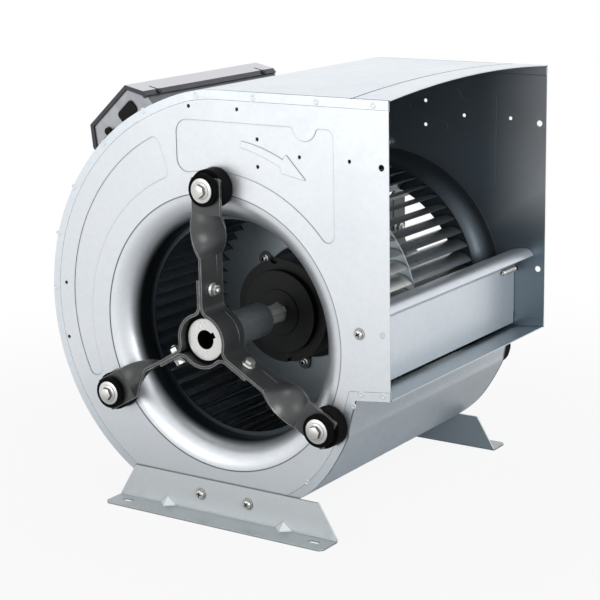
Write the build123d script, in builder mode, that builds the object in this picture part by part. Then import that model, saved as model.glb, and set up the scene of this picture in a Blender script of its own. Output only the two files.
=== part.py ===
from build123d import *
import os
from math import asin, atan2, cos, degrees, radians, sin, sqrt

# Centrifugal blower, direct drive, with an inlet in each side plate.
# Millimetres. +X points out of the outlet, +Z is up, and the front inlet faces -Y.
# Pieces are drawn about the wheel's axis, and each is lifted when it is finished,
# so that the origin lies in the plane the feet stand on, in the middle of their slots.

# Housing
outlet_width = 331.0
outlet_height = 289.0
outlet_reach = 200.0
top_height = 247.5
scroll_rate = 0.30
scroll_end = 344.0
tail_start = 300.0
tail_drop = 4.4
corner_heading = 73.0
sheet = 1.0
strip_width = 9.0
fold_gap = 0.3
crown_start = 4.0
crown_rise = 8.0
crown_groove_x = 160.0
crown_groove_width = 2.0
crown_groove_depth = 0.4

# Drawn inlets
bell_radius = 144.6
bell_draw = 30.0
bell_step = 0.4
throat_radius = 117.0
lip_length = 2.5

# Pressed areas and holes of the side plates
press_depth = 0.6
panel_left = -48.0
panel_right = 139.5
panel_top = 217.0
panel_radius = 166.5
panel_corner = 14.0
panel_small_corner = 8.0
notch_x = 106.5
notch_radius = 13.0
notch_corner = 5.0
crescent_inset = 29.0
crescent_radius = 167.5
crescent_start = 110.0
crescent_end = 202.0
crescent_corner = 8.0
arrow_upper = [(32, 199), (58, 193.2), (81, 184)]
arrow_head = [(85, 189), (107, 166), (79, 171)]
arrow_lower = [(78, 177), (56, 186.3), (31, 193)]
small_hole_radius = 2.0
small_holes = [(157, 188), (100, 188), (51, 202), (51, 175)]
rim_hole_inset = 17.5
rim_holes_x = (28.0, -31.0)
rim_holes_z = (31.0, -29.0)
duct_hole_radius = 3.25
duct_hole_inset = 8.0
duct_hole_low = 23.5
duct_hole_pitch = 161.0

# Cutoff plate at the lower side of the outlet
cutoff_face = 163.5
nose_crest = (177.0, 45.6)
nose_front_radius = 11.0
nose_back_radius = 47.0
nose_front_angle = 22.0
nose_back_angle = 137.0
nose_foot = 26.0
cutoff_gap = 0.3
cutoff_tab_reach = 11.5
cutoff_tab_low = -20.0
cutoff_tab_high = 10.0
cutoff_screw_z = 21.6
cutoff_screw_radius = 2.1
cutoff_head_radius = 4.2
cutoff_head_height = 2.6
cutoff_washer_radius = 5.5
cutoff_fold_radius = 3.0
cutoff_screw_reach = 36.0

# Feet
foot_sheet = 2.0
axis_height = 197.0
foot_web_top = -159.0
foot_top_half = 116.5
foot_bottom_half = 138.0
foot_chamfer = 4.0
foot_flange = 28.0
foot_bend_radius = 3.0
foot_slot_x = 119.0
foot_slot_y = 179.5
foot_slot_length = 14.0
foot_slot_width = 7.0
foot_screw_x = 30.0
foot_screw_z = 1.0
foot_screw_radius = 2.4
foot_head_radius = 4.6
foot_head_height = 3.0
foot_washer_radius = 6.0
foot_screw_reach = 8.0
screw_hole_gap = 0.2
gusset_x = 74.0
gusset_leg = 9.0
gusset_half = 11.0

# Bracket of three bent straps on each side
strap_sheet = 3.0
strap_width = 36.0
strap_proud = 33.0
strap_hub_radius = 25.5
strap_bend = 10.0
strap_seam = 0.1
strap_corner = 3.0
leg_short = 62.0
twist_start = 84.0
twist_end = 126.0
arm_end = 163.0
arm_end_width = 35.0
arm_end_proud = 18.0
clamp_radius = 50.0
clamp_bolt_radius = 3.0
clamp_bolt_reach = 12.0
clamp_hole_gap = 0.3
clamp_flange_radius = 7.1
mount_circle = 151.0
mount_bolt_radius = 4.0
mount_bolt_gap = 0.2
mount_bolt_reach = 9.0
mount_nut_radius = 5.3
mount_nut_height = 6.0
mount_sleeve_radius = 6.0
thread_gap = 0.04
pad_radius = 20.0
pad_neck_radius = 8.0
buffer_radius = 16.5
washer_radius = 12.5
washer_sheet = 1.6
buffer_height = 5.5

# Hub, shaft and key
bore_radius = 10.0
shaft_gap = 0.02
hub_proud = 25.3
hub_collar_radius = 21.5
hub_collar_length = 25.5
hub_tube_radius = 18.0
hub_tube_length = 94.5
rubber_gap = 0.1
hub_rubber_margin = 0.8
shaft_half = 130.0
key_width = 6.0
key_slot_gap = 0.05
key_angle = 29.0
key_foot = 7.5
key_top = 12.7
key_start = 64.0
key_end = 128.0
keyway_radius = 13.0

# Motor
rotor_radius = 56.0
rotor_wall = 3.0
rotor_half = 50.0
rotor_floor = 4.0
cover_sheet = 4.0
cap_radius = 45.0
cap_height = 7.0
cap_wall = 3.0
boss_radius = 25.0
boss_height = 1.0
bearing_radius = 23.5
bearing_split = 17.0
bearing_width = 14.0
running_gap = 0.05
seat_wall = 4.0
seat_cap = 2.0
shaft_opening = 10.8
cover_notch_radius = 5.0
cover_notch_angles = (100.0, 280.0)
flange_radius = 62.0
flange_sheet = 3.0
ear_circle = 70.5
ear_radius = 7.0
ear_angles = (24.0, 144.0, 264.0)
rotor_screw_radius = 2.5
rotor_screw_reach = 5.0
core_radius = 44.0
core_half = 28.0
air_gap = 0.4
stator_half = 25.0
winding_length = 9.0
winding_inner = 30.0
winding_outer = 41.0

# Wheel
wheel_radius = 134.0
wheel_half = 130.0
blade_count = 51
blade_inner = 112.0
blade_arc_radius = 21.0
blade_arc = 75.0
blade_sheet = 0.8
ring_sheet = 1.2
disc_sheet = 1.5
disc_bore_gap = 0.3

# Terminal box on the scroll
box_angle = 132.0
box_shift = 16.2
box_half_length = 119.5
box_top = 43.1
box_shoulder = 23.1
box_skirt = 17.1
box_top_half = 33.6
box_half = 48.0
box_sheet = 1.5
box_gap = 0.3
box_floor = 1.7
box_wall_overlap = 12.0
box_rim = 4.2
box_screw_y = 96.0
box_screw_radius = 1.5
box_screw_reach = 7.0
lid_slit_width = 3.0
lid_slit_rise = 8.5
lid_slit_drop = 2.5
lid_slit_reach = 9.0
box_floor_screw_y = 80.0
box_floor_screw_radius = 2.0
box_floor_screw_reach = 8.0
port_size = (25.0, 14.0)
port_center = (15.7, 21.1)
port_corner = 4.0
gland_center = (-20.0, 13.1)
gland_size = (21.0, 14.0)
gland_corner = 3.0
gland_reach = 8.0
gland_knob = (-19.0, 22.6)
gland_knob_radius = 4.0
capacitor_radius = 15.0
capacitor_length = 70.0
capacitor_y = 60.0
block_size = (24.0, 62.0, 18.0)
block_y = -45.0

# Values that follow from those above
half_width = outlet_width / 2
plate_inside = half_width - sheet
outlet_floor = top_height - outlet_height
joggle = strip_width + fold_gap
bell_depth = half_width - bell_step - bell_draw
strap_middle = half_width + strap_proud - strap_width / 2
arm_front = half_width + arm_end_proud
arm_back = arm_front - strap_sheet
disc_half = disc_sheet / 2
shaft_radius = bore_radius - shaft_gap
strap_center_radius = strap_hub_radius + strap_sheet / 2
strap_offset = strap_seam + strap_sheet / 2
strap_lean = degrees(asin((strap_offset + strap_bend) / (strap_center_radius + strap_bend)))
arm_angles = (90.0, 210.0, 330.0)
axis_line = Axis((0, 0, 0), (0, 1, 0))

os.makedirs("parts", exist_ok=True)


def save(piece, name):
    """Lift a finished piece onto the feet's plane, label it and write its file."""
    placed = Pos(0, 0, axis_height) * piece
    placed.label = name
    export_step(placed, f"parts/{name}.step")


def save_pair(piece, name):
    """Write a piece of the front side and its mirror image on the rear side."""
    save(piece, f"{name}_front")
    save(mirror(piece, about=Plane.XZ), f"{name}_rear")


def both_sides(piece):
    """A group of a front piece and its mirror image on the rear side."""
    with BuildPart() as group:
        add([piece, mirror(piece, about=Plane.XZ)])
    return group.part


def front(distance):
    """The plane at this distance in front of the middle, facing the front inlet."""
    return Plane.XZ.offset(distance)


def polar(radius, angle):
    """A point of the X-Z plane by its radius and its angle from +X."""
    return (radius * cos(radians(angle)), radius * sin(radians(angle)))


def scroll_radius(angle):
    """Outer radius of the scroll, which shrinks evenly and faster near the cutoff."""
    tail = max(0.0, (angle - tail_start) / (scroll_end - tail_start))
    return top_height - scroll_rate * (angle - 90) - tail_drop * tail**2


def scroll_corner(inset):
    """Where the scroll turns into the outlet's floor, moved in by an even inset."""
    corner = Vector(*polar(scroll_radius(scroll_end), scroll_end))
    edge = Vector(outlet_reach, outlet_floor)
    floor_heading = degrees(atan2(edge.Y - corner.Y, edge.X - corner.X))
    wall_normal = Vector(*polar(1, corner_heading + 90))
    floor_normal = Vector(*polar(1, floor_heading + 90))
    pull = (wall_normal + floor_normal) / (1 + wall_normal.dot(floor_normal))
    return corner + pull * inset


def scroll_face(inset, mode=Mode.ADD):
    """The housing's side view, smaller by the inset, but reaching the outlet's plane."""
    turns = 18
    step = (scroll_end - 90) / turns
    angles = [90 + step * turn for turn in range(turns)]
    points = [polar(scroll_radius(angle) - inset, angle) for angle in angles]
    corner = scroll_corner(inset)
    with BuildLine() as outline:
        Spline(*points, (corner.X, corner.Y), tangents=[(-1, 0), polar(1, corner_heading)])
        Polyline(
            (corner.X, corner.Y),
            (outlet_reach, outlet_floor + inset),
            (outlet_reach, top_height - inset),
            points[0],
        )
    make_face(outline.edges(), mode=mode)


def turned(points):
    """A ring turned about the wheel's axis from its points, each a radius and a place along Y."""
    with BuildPart() as ring:
        with BuildSketch(Plane.XY):
            with BuildLine():
                Polyline(*points, close=True)
            make_face()
        revolve(axis=axis_line)
    return ring.part


def tube(inner, outer, start, end):
    """A plain ring about the wheel's axis between two places along Y."""
    return turned([(inner, start), (outer, start), (outer, end), (inner, end)])


def disc_on(center, radius, start, end, inner=0.0):
    """A round piece parallel to the wheel's axis; start and end are distances to the front."""
    with BuildPart() as piece:
        with BuildSketch(front(start)):
            with Locations(center):
                Circle(radius)
                if inner > 0:
                    Circle(inner, mode=Mode.SUBTRACT)
        extrude(amount=end - start)
    return piece.part


def hexagon_on(center, across_flats, start, end, inner=0.0):
    """A hexagonal piece parallel to the wheel's axis, across_flats wide."""
    with BuildPart() as piece:
        with BuildSketch(front(start)):
            with Locations(center):
                RegularPolygon(across_flats / 2, 6, major_radius=False)
                if inner > 0:
                    Circle(inner, mode=Mode.SUBTRACT)
        extrude(amount=end - start)
    return piece.part


def around(piece, angles=arm_angles):
    """Copies of a piece drawn along +X, turned about the wheel's axis to these angles."""
    with BuildPart() as group:
        for angle in angles:
            add(piece, rotation=(0, -angle, 0))
    return group.part


def joined(*pieces):
    """One solid of pieces that touch, or one group of pieces that don't."""
    with BuildPart() as group:
        for piece in pieces:
            add(piece)
    return group.part


def cut_round(centers, radius, start, end):
    """Drill straight holes parallel to the wheel's axis through the part being built."""
    with BuildSketch(front(start)) as holes:
        with Locations(*centers):
            Circle(radius)
    extrude(holes.sketch, amount=end - start, mode=Mode.SUBTRACT)


def box_plane(distance):
    """A plane across the terminal box: x runs along the scroll, and y outward from the wrap."""
    along = Vector(cos(radians(box_angle - 90)), 0, sin(radians(box_angle - 90)))
    seat = Vector(cos(radians(box_angle)), 0, sin(radians(box_angle))) * scroll_radius(box_angle)
    return Plane(origin=along * box_shift + seat + Vector(0, -distance, 0), x_dir=along, z_dir=(0, -1, 0))


def box_top_plane(height):
    """A plane over the terminal box, parallel to its lid."""
    along = Vector(cos(radians(box_angle - 90)), 0, sin(radians(box_angle - 90)))
    out = Vector(cos(radians(box_angle)), 0, sin(radians(box_angle)))
    seat = out * scroll_radius(box_angle)
    return Plane(origin=along * box_shift + seat + out * height, x_dir=along, z_dir=out)


def box_side_plane(side, distance):
    """A plane beside the terminal box that faces away from its middle."""
    along = Vector(cos(radians(box_angle - 90)), 0, sin(radians(box_angle - 90)))
    seat = Vector(cos(radians(box_angle)), 0, sin(radians(box_angle))) * scroll_radius(box_angle)
    return Plane(origin=along * (box_shift + side * distance) + seat, x_dir=(0, side, 0), z_dir=along * side)


def crown_section(x, rise):
    """The outlet's top sheet at one distance along X, arched between the side plates."""
    with BuildSketch(Plane.YZ.offset(x)) as section:
        with BuildLine():
            ThreePointArc((-half_width, top_height), (0, top_height + rise), (half_width, top_height))
            Line((half_width, top_height), (half_width, top_height - sheet))
            ThreePointArc(
                (half_width, top_height - sheet),
                (0, top_height - sheet + rise),
                (-half_width, top_height - sheet),
            )
            Line((-half_width, top_height - sheet), (-half_width, top_height))
        make_face()
    return section.sketch


# Scroll wrap: one sheet with a strip folded over each side plate
crown_flat = sheet / 10
groove_share = (crown_groove_x - crown_start) / (outlet_reach - crown_start)
groove_rise = crown_flat + (crown_rise - crown_flat) * groove_share
foot_screw_level = (foot_web_top + foot_sheet - axis_height) / 2 + foot_screw_z
foot_screw_places = [(foot_screw_x, foot_screw_level), (-foot_screw_x, foot_screw_level)]

with BuildPart() as scroll_wrap:
    with BuildSketch(front(half_width)):
        scroll_face(0)
        scroll_face(sheet, Mode.SUBTRACT)
    extrude(amount=-outlet_width)
    for side in (1, -1):
        with BuildSketch(front(side * half_width)):
            scroll_face(0)
            scroll_face(strip_width, Mode.SUBTRACT)
        extrude(amount=-side * sheet)
        screw_end = side * (half_width - foot_screw_reach)
        cut_round(foot_screw_places, foot_screw_radius + screw_hole_gap, screw_end, side * half_width)
    with BuildSketch(Plane.XY.offset(top_height - sheet)):
        with Locations(((crown_start + outlet_reach) / 2, 0)):
            Rectangle(outlet_reach - crown_start, 2 * plate_inside)
    extrude(amount=sheet, mode=Mode.SUBTRACT)
    loft([crown_section(crown_start, crown_flat), crown_section(outlet_reach, crown_rise)], ruled=True)
    groove = Pos(0, 0, sheet - crown_groove_depth) * crown_section(crown_groove_x, groove_rise)
    extrude(groove, amount=crown_groove_width / 2, both=True, mode=Mode.SUBTRACT)
    with BuildSketch(box_top_plane(box_floor)):
        with Locations((0, box_floor_screw_y), (0, -box_floor_screw_y)):
            Circle(box_floor_screw_radius + screw_hole_gap)
    extrude(amount=-box_floor_screw_reach, mode=Mode.SUBTRACT)

save(scroll_wrap.part, "scroll_wrap")


def arrow_face(mode):
    """The rotation arrow, which stays level with the plate inside the pressed panel."""
    with BuildLine() as outline:
        ThreePointArc(*arrow_upper)
        Polyline(arrow_upper[-1], *arrow_head, arrow_lower[0])
        ThreePointArc(*arrow_lower)
        Line(arrow_lower[-1], arrow_upper[0])
    make_face(outline.edges(), mode=mode)


def panel_face():
    """The large pressed panel round the upper right of the inlet."""
    with BuildSketch(front(half_width)) as panel:
        with Locations(((panel_left + panel_right) / 2, panel_top / 2)):
            Rectangle(panel_right - panel_left, panel_top)
        Circle(panel_radius, mode=Mode.SUBTRACT)
        with Locations((notch_x, panel_top)):
            Circle(notch_radius, mode=Mode.SUBTRACT)
        fillet(panel.vertices().sort_by(Axis.X)[:2], panel_corner)
        fillet(panel.vertices().sort_by(Axis.X)[-2:], panel_small_corner)
        fillet(panel.vertices().sort_by_distance((notch_x, panel_top))[:2], notch_corner)
        arrow_face(Mode.SUBTRACT)
    return panel.sketch


def crescent_face():
    """The pressed crescent that follows the scroll on the side away from the outlet."""
    far = 2 * top_height
    middle = (crescent_start + crescent_end) / 2
    with BuildSketch(front(half_width)) as crescent:
        scroll_face(crescent_inset)
        Circle(crescent_radius, mode=Mode.SUBTRACT)
        with BuildLine():
            Polyline(
                (0, 0),
                polar(far, crescent_start),
                polar(far, middle),
                polar(far, crescent_end),
                close=True,
            )
        make_face(mode=Mode.INTERSECT)
        fillet(crescent.vertices(), crescent_corner)
    return crescent.sketch


def bell():
    """The drawn inlet: a quarter of an ellipse in section, then a short straight lip."""
    top = -(half_width - bell_step)
    throat_draw = bell_radius - throat_radius
    center = (bell_radius, -bell_depth)
    lip = -bell_depth + lip_length
    with BuildPart() as ring:
        with BuildSketch(Plane.XY):
            with BuildLine():
                EllipticalCenterArc(center, throat_draw, bell_draw, start_angle=180, arc_size=90)
                Polyline(
                    (bell_radius, top),
                    (bell_radius + sheet, top),
                    (bell_radius + sheet, top + sheet),
                    (bell_radius, top + sheet),
                )
                EllipticalCenterArc(
                    center,
                    throat_draw - sheet,
                    bell_draw - sheet,
                    start_angle=180,
                    arc_size=90,
                )
                Polyline(
                    (throat_radius + sheet, -bell_depth),
                    (throat_radius + sheet, lip),
                    (throat_radius, lip),
                    (throat_radius, -bell_depth),
                )
            make_face()
        revolve(axis=axis_line)
    return ring.part


# Side plate: joggled rim behind the wrap's folded strip, pressed areas and the drawn inlet
mount_places = [polar(mount_circle, angle) for angle in arm_angles]
duct_hole_x = outlet_reach - duct_hole_inset
duct_places = [(duct_hole_x, duct_hole_low), (duct_hole_x, duct_hole_low + duct_hole_pitch)]
rim_holes = [(x, top_height - rim_hole_inset) for x in rim_holes_x]
rim_holes += [(rim_hole_inset - scroll_radius(180), z) for z in rim_holes_z]
cutoff_screw_x = cutoff_face + cutoff_gap + cutoff_screw_radius
cutoff_screw_place = (cutoff_screw_x, cutoff_screw_z)
pressings = [panel_face(), crescent_face()]
pressed_pads = [Pos(0, sheet, 0) * pressing for pressing in pressings]
inlet_bell = bell()

with BuildPart() as side_plate:
    with BuildSketch(front(plate_inside)):
        scroll_face(joggle)
        Circle(bell_radius, mode=Mode.SUBTRACT)
    extrude(amount=sheet)
    with BuildSketch(front(plate_inside)):
        scroll_face(sheet + fold_gap)
        scroll_face(joggle + sheet, Mode.SUBTRACT)
    extrude(amount=-sheet)
    for pressing in pressings:
        extrude(pressing, amount=-press_depth, mode=Mode.SUBTRACT)
    for pressed_pad in pressed_pads:
        extrude(pressed_pad, amount=-press_depth)
    add(inlet_bell)
    cut_round(small_holes + rim_holes, small_hole_radius, plate_inside - sheet, half_width)
    cut_round(duct_places, duct_hole_radius, plate_inside - sheet, half_width)
    cut_round(mount_places, mount_bolt_radius + mount_bolt_gap, plate_inside - sheet, half_width)
    cut_round(foot_screw_places, foot_screw_radius + screw_hole_gap, plate_inside - sheet, half_width)
    cut_round([cutoff_screw_place], cutoff_screw_radius + screw_hole_gap, plate_inside, half_width)

save_pair(side_plate.part, "side_plate")


def line_meets_circle(start, heading, center, radius):
    """The farther point where a line in this direction meets a circle."""
    reach = center - start
    along = reach.dot(heading)
    return start + heading * (along + sqrt(along**2 - reach.dot(reach) + radius**2))


# Cutoff plate: an upright face and a rolled nose, with a tab bent back at each end
crest = Vector(*nose_crest)
front_center = crest - Vector(0, nose_front_radius)
back_center = crest - Vector(0, nose_back_radius)
shelf = Vector(cutoff_face, outlet_floor + sheet + cutoff_gap)
face_top = Vector(cutoff_face, nose_foot)
nose_edge = front_center + Vector(*polar(nose_front_radius, nose_front_angle))
nose_slope = (nose_edge - face_top).normalized()
slope_inside = face_top + Vector(-nose_slope.Y, nose_slope.X) * sheet
inner_edge = line_meets_circle(slope_inside, nose_slope, front_center, nose_front_radius - sheet)
inner_top = slope_inside - nose_slope * ((slope_inside.X - cutoff_face + sheet) / nose_slope.X)
inner_angle = degrees(atan2(inner_edge.Y - front_center.Y, inner_edge.X - front_center.X))
back_sweep = nose_back_angle - 90
back_outer = back_center + Vector(*polar(nose_back_radius, nose_back_angle))
back_inner = back_center + Vector(*polar(nose_back_radius - sheet, nose_back_angle))
cutoff_half = plate_inside - cutoff_gap

with BuildPart() as cutoff_plate:
    with BuildSketch(front(cutoff_half)) as cutoff_outline:
        with BuildLine():
            Polyline((shelf.X, shelf.Y), (face_top.X, face_top.Y), (nose_edge.X, nose_edge.Y))
            CenterArc(
                (front_center.X, front_center.Y),
                nose_front_radius,
                nose_front_angle,
                90 - nose_front_angle,
            )
            CenterArc((back_center.X, back_center.Y), nose_back_radius, 90, back_sweep)
            Line((back_outer.X, back_outer.Y), (back_inner.X, back_inner.Y))
            CenterArc((back_center.X, back_center.Y), nose_back_radius - sheet, 90, back_sweep)
            CenterArc(
                (front_center.X, front_center.Y),
                nose_front_radius - sheet,
                inner_angle,
                90 - inner_angle,
            )
            Polyline(
                (inner_edge.X, inner_edge.Y),
                (inner_top.X, inner_top.Y),
                (shelf.X - sheet, shelf.Y),
                (shelf.X, shelf.Y),
            )
        make_face()
        fillet(
            cutoff_outline.vertices().sort_by_distance((face_top.X, face_top.Y))[0],
            cutoff_fold_radius,
        )
        fillet(
            cutoff_outline.vertices().sort_by_distance((inner_top.X, inner_top.Y))[0],
            cutoff_fold_radius + sheet,
        )
    extrude(amount=-2 * cutoff_half)
    for side in (1, -1):
        with BuildSketch(front(side * cutoff_half)):
            with Locations((cutoff_face, outlet_floor)):
                Rectangle(4 * sheet, 2 * (joggle + 4 * sheet))
        extrude(amount=-side * 1.5 * sheet, mode=Mode.SUBTRACT)
        with BuildSketch(front(side * cutoff_half)):
            with Locations((cutoff_face - sheet, cutoff_tab_low)):
                Rectangle(
                    cutoff_tab_reach,
                    cutoff_tab_high - cutoff_tab_low,
                    align=(Align.MAX, Align.MIN),
                )
        extrude(amount=-side * sheet)

save(cutoff_plate.part, "cutoff_plate")

cutoff_washer_face = half_width + sheet
cutoff_head_face = cutoff_washer_face + cutoff_head_height
cutoff_screw = joined(
    disc_on(cutoff_screw_place, cutoff_washer_radius, half_width, cutoff_washer_face),
    disc_on(cutoff_screw_place, cutoff_head_radius, cutoff_washer_face, cutoff_head_face),
    disc_on(cutoff_screw_place, cutoff_screw_radius, half_width - cutoff_screw_reach, half_width),
)
save(both_sides(cutoff_screw), "cutoff_screws")

# Feet: an upright web against each side plate, folded outward into a slotted flange
foot_outer = half_width + foot_sheet
foot_edge = foot_outer + foot_flange
slot_places = [(foot_slot_x, -foot_slot_y), (-foot_slot_x, -foot_slot_y)]


def gusset(x):
    """A pressed dart that stiffens the fold, pointed at both ends of its base."""
    corner_y = -foot_outer
    corner_z = foot_sheet - axis_height
    with BuildPart() as dart:
        with BuildSketch(Plane.YZ.offset(x)) as section:
            with BuildLine():
                Polyline(
                    (corner_y, corner_z),
                    (corner_y - gusset_leg, corner_z),
                    (corner_y, corner_z + gusset_leg),
                    close=True,
                )
            make_face()
        left = Vertex(x - gusset_half, corner_y, corner_z)
        right = Vertex(x + gusset_half, corner_y, corner_z)
        loft([left, section.sketch, right], ruled=True)
    return dart.part


gussets = [gusset(gusset_x), gusset(-gusset_x)]

with BuildPart() as foot:
    with BuildSketch(Plane.YZ.offset(-foot_bottom_half)) as foot_section:
        with BuildLine():
            Polyline(
                (-half_width, foot_web_top),
                (-half_width, -axis_height),
                (-foot_edge, -axis_height),
                (-foot_edge, foot_sheet - axis_height),
                (-foot_outer, foot_sheet - axis_height),
                (-foot_outer, foot_web_top),
                close=True,
            )
        make_face()
        fillet(
            foot_section.vertices().sort_by_distance((-half_width, -axis_height))[0],
            foot_bend_radius,
        )
        fillet(
            foot_section.vertices().sort_by_distance((-foot_outer, foot_sheet - axis_height))[0],
            foot_bend_radius - foot_sheet,
        )
    extrude(amount=2 * foot_bottom_half)
    with BuildSketch(front(foot_edge)):
        with BuildLine():
            Polyline(
                (-foot_bottom_half, -axis_height),
                (foot_bottom_half, -axis_height),
                (foot_bottom_half, foot_bend_radius - axis_height),
                (foot_top_half, foot_web_top),
                (-foot_top_half, foot_web_top),
                (-foot_bottom_half, foot_bend_radius - axis_height),
                close=True,
            )
        make_face()
    extrude(amount=-foot_edge, mode=Mode.INTERSECT)
    chamfer(foot.edges().filter_by(Axis.Z).group_by(Axis.Y)[0], foot_chamfer)
    add(gussets)
    with BuildSketch(Plane.XY.offset(-axis_height)):
        with Locations(*slot_places):
            SlotOverall(foot_slot_length, foot_slot_width)
    extrude(amount=foot_sheet, mode=Mode.SUBTRACT)
    cut_round(foot_screw_places, foot_screw_radius + screw_hole_gap, half_width, foot_outer)

save_pair(foot.part, "foot")

front_foot_screws = [
    joined(
        disc_on(place, foot_washer_radius, foot_outer, foot_outer + sheet),
        disc_on(place, foot_head_radius, foot_outer + sheet, foot_outer + sheet + foot_head_height),
        disc_on(place, foot_screw_radius, half_width - foot_screw_reach, foot_outer),
    )
    for place in foot_screw_places
]
save(both_sides(joined(*front_foot_screws)), "foot_screws")


def strap_edge(start_angle, end_angle, side, start_leg, end_leg):
    """One edge of a bent strap seen from the front; side is 1 outside and -1 inside."""
    half = side * strap_sheet / 2
    along = (strap_center_radius + strap_bend) * cos(radians(strap_lean))
    for angle, turn, leg in ((start_angle, 90, start_leg), (end_angle, -90, end_leg)):
        out = Vector(*polar(1, angle))
        across = Vector(*polar(1, angle + turn))
        center = out * along + across * (strap_offset + strap_bend)
        foot_point = out * along + across * (strap_offset + half)
        tip = out * leg + across * (strap_offset + half)
        Line((foot_point.X, foot_point.Y), (tip.X, tip.Y))
        bend_start = angle + 270 if turn > 0 else angle - strap_lean + 180
        CenterArc((center.X, center.Y), strap_bend - half, bend_start, strap_lean - 90)
    CenterArc(
        (0, 0),
        strap_center_radius + half,
        start_angle + strap_lean,
        end_angle - start_angle - 2 * strap_lean,
    )


def strap_tip(angle, turn, leg):
    """The straight end of a strap's leg."""
    out = Vector(*polar(1, angle)) * leg
    across = Vector(*polar(1, angle + turn))
    near = out + across * strap_seam
    far = out + across * (strap_seam + strap_sheet)
    Line((near.X, near.Y), (far.X, far.Y))


def twist_section(angle, turn, share):
    """A strap's section partway through its quarter twist, from upright to flat."""
    out = Vector(cos(radians(angle)), 0, sin(radians(angle)))
    across = Vector(cos(radians(angle + turn)), 0, sin(radians(angle + turn)))
    swing = 90 * share
    edge_direction = Vector(0, -1, 0) * cos(radians(swing)) - across * sin(radians(swing))
    arm_middle = (arm_front + arm_back) / 2
    depth = strap_middle + (arm_middle - strap_middle) * share
    radius = twist_start + (twist_end - twist_start) * share
    center = out * radius + across * strap_offset * (1 - share) - Vector(0, depth, 0)
    width = strap_width + (arm_end_width - strap_width) * share
    with BuildSketch(Plane(origin=center, x_dir=edge_direction, z_dir=out)) as section:
        Rectangle(width, strap_sheet)
    return section.sketch


def flat_end():
    """The flat end of an arm drawn along +X, with the hole for the rubber pad's neck."""
    with BuildPart() as end:
        with BuildSketch(front(arm_back)) as plate:
            with Locations((twist_end, 0)):
                Rectangle(arm_end - twist_end, arm_end_width, align=(Align.MIN, Align.CENTER))
            fillet(plate.vertices().group_by(Axis.X)[-1], strap_corner)
            with Locations((mount_circle, 0)):
                Circle(pad_neck_radius + mount_bolt_gap, mode=Mode.SUBTRACT)
        extrude(amount=strap_sheet)
    return end.part


def clamp_hole():
    """The clamp bolt's hole across an arm drawn along +X."""
    reach = strap_seam + 2 * strap_sheet
    with BuildPart() as hole:
        with BuildSketch(Plane.XY.offset(-reach)):
            with Locations((clamp_radius, -strap_middle)):
                Circle(clamp_bolt_radius + clamp_hole_gap)
        extrude(amount=2 * reach)
    return hole.part


def strap(start_angle, end_angle, start_long, end_long):
    """A strap bent round the hub between two arms, with a short or a long leg on each."""
    start_leg = twist_start if start_long else leg_short
    end_leg = twist_start if end_long else leg_short
    hole = clamp_hole()
    arm = flat_end()
    with BuildPart() as piece:
        with BuildSketch(front(strap_middle - strap_width / 2)):
            with BuildLine() as outline:
                strap_edge(start_angle, end_angle, 1, start_leg, end_leg)
                strap_edge(start_angle, end_angle, -1, start_leg, end_leg)
                strap_tip(start_angle, 90, start_leg)
                strap_tip(end_angle, -90, end_leg)
            make_face(outline.edges())
        extrude(amount=strap_width)
        for angle, turn, long in ((start_angle, 90, start_long), (end_angle, -90, end_long)):
            add(hole, rotation=(0, -angle, 0), mode=Mode.SUBTRACT)
            if long:
                loft([twist_section(angle, turn, step / 4) for step in range(5)])
                add(arm, rotation=(0, -angle, 0))
    return piece.part


# Bracket of three straps: every arm has one long leg and one short leg, clamped by a bolt
save_pair(strap(330 - 360, 90, True, True), "strap_right")
save_pair(strap(90, 210, False, True), "strap_left")
save_pair(strap(210, 330, False, False), "strap_bottom")


def across_arm(shape_radius, start, end, hexagon=False, inner=0.0):
    """A round or hexagonal piece across an arm drawn along +X, between two heights."""
    with BuildPart() as piece:
        with BuildSketch(Plane.XY.offset(start)):
            with Locations((clamp_radius, -strap_middle)):
                if hexagon:
                    RegularPolygon(shape_radius, 6, major_radius=False)
                else:
                    Circle(shape_radius)
                if inner > 0:
                    Circle(inner, mode=Mode.SUBTRACT)
        extrude(amount=end - start)
    return piece.part


clamp_face = strap_seam + strap_sheet
clamp_flange = clamp_face + 0.47 * clamp_bolt_radius
clamp_top = clamp_face + 2.1 * clamp_bolt_radius
clamp_bolt = joined(
    across_arm(clamp_flange_radius, clamp_face, clamp_flange),
    across_arm(1.67 * clamp_bolt_radius, clamp_flange, clamp_top, hexagon=True),
    across_arm(clamp_bolt_radius, -clamp_bolt_reach, clamp_face),
)
clamp_nut_bore = clamp_bolt_radius + thread_gap
clamp_nut = joined(
    across_arm(clamp_flange_radius, -clamp_flange, -clamp_face, inner=clamp_nut_bore),
    across_arm(1.67 * clamp_bolt_radius, -clamp_top, -clamp_flange, hexagon=True, inner=clamp_nut_bore),
)
save(both_sides(around(clamp_bolt)), "clamp_bolts")
save(both_sides(around(clamp_nut)), "clamp_nuts")

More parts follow.
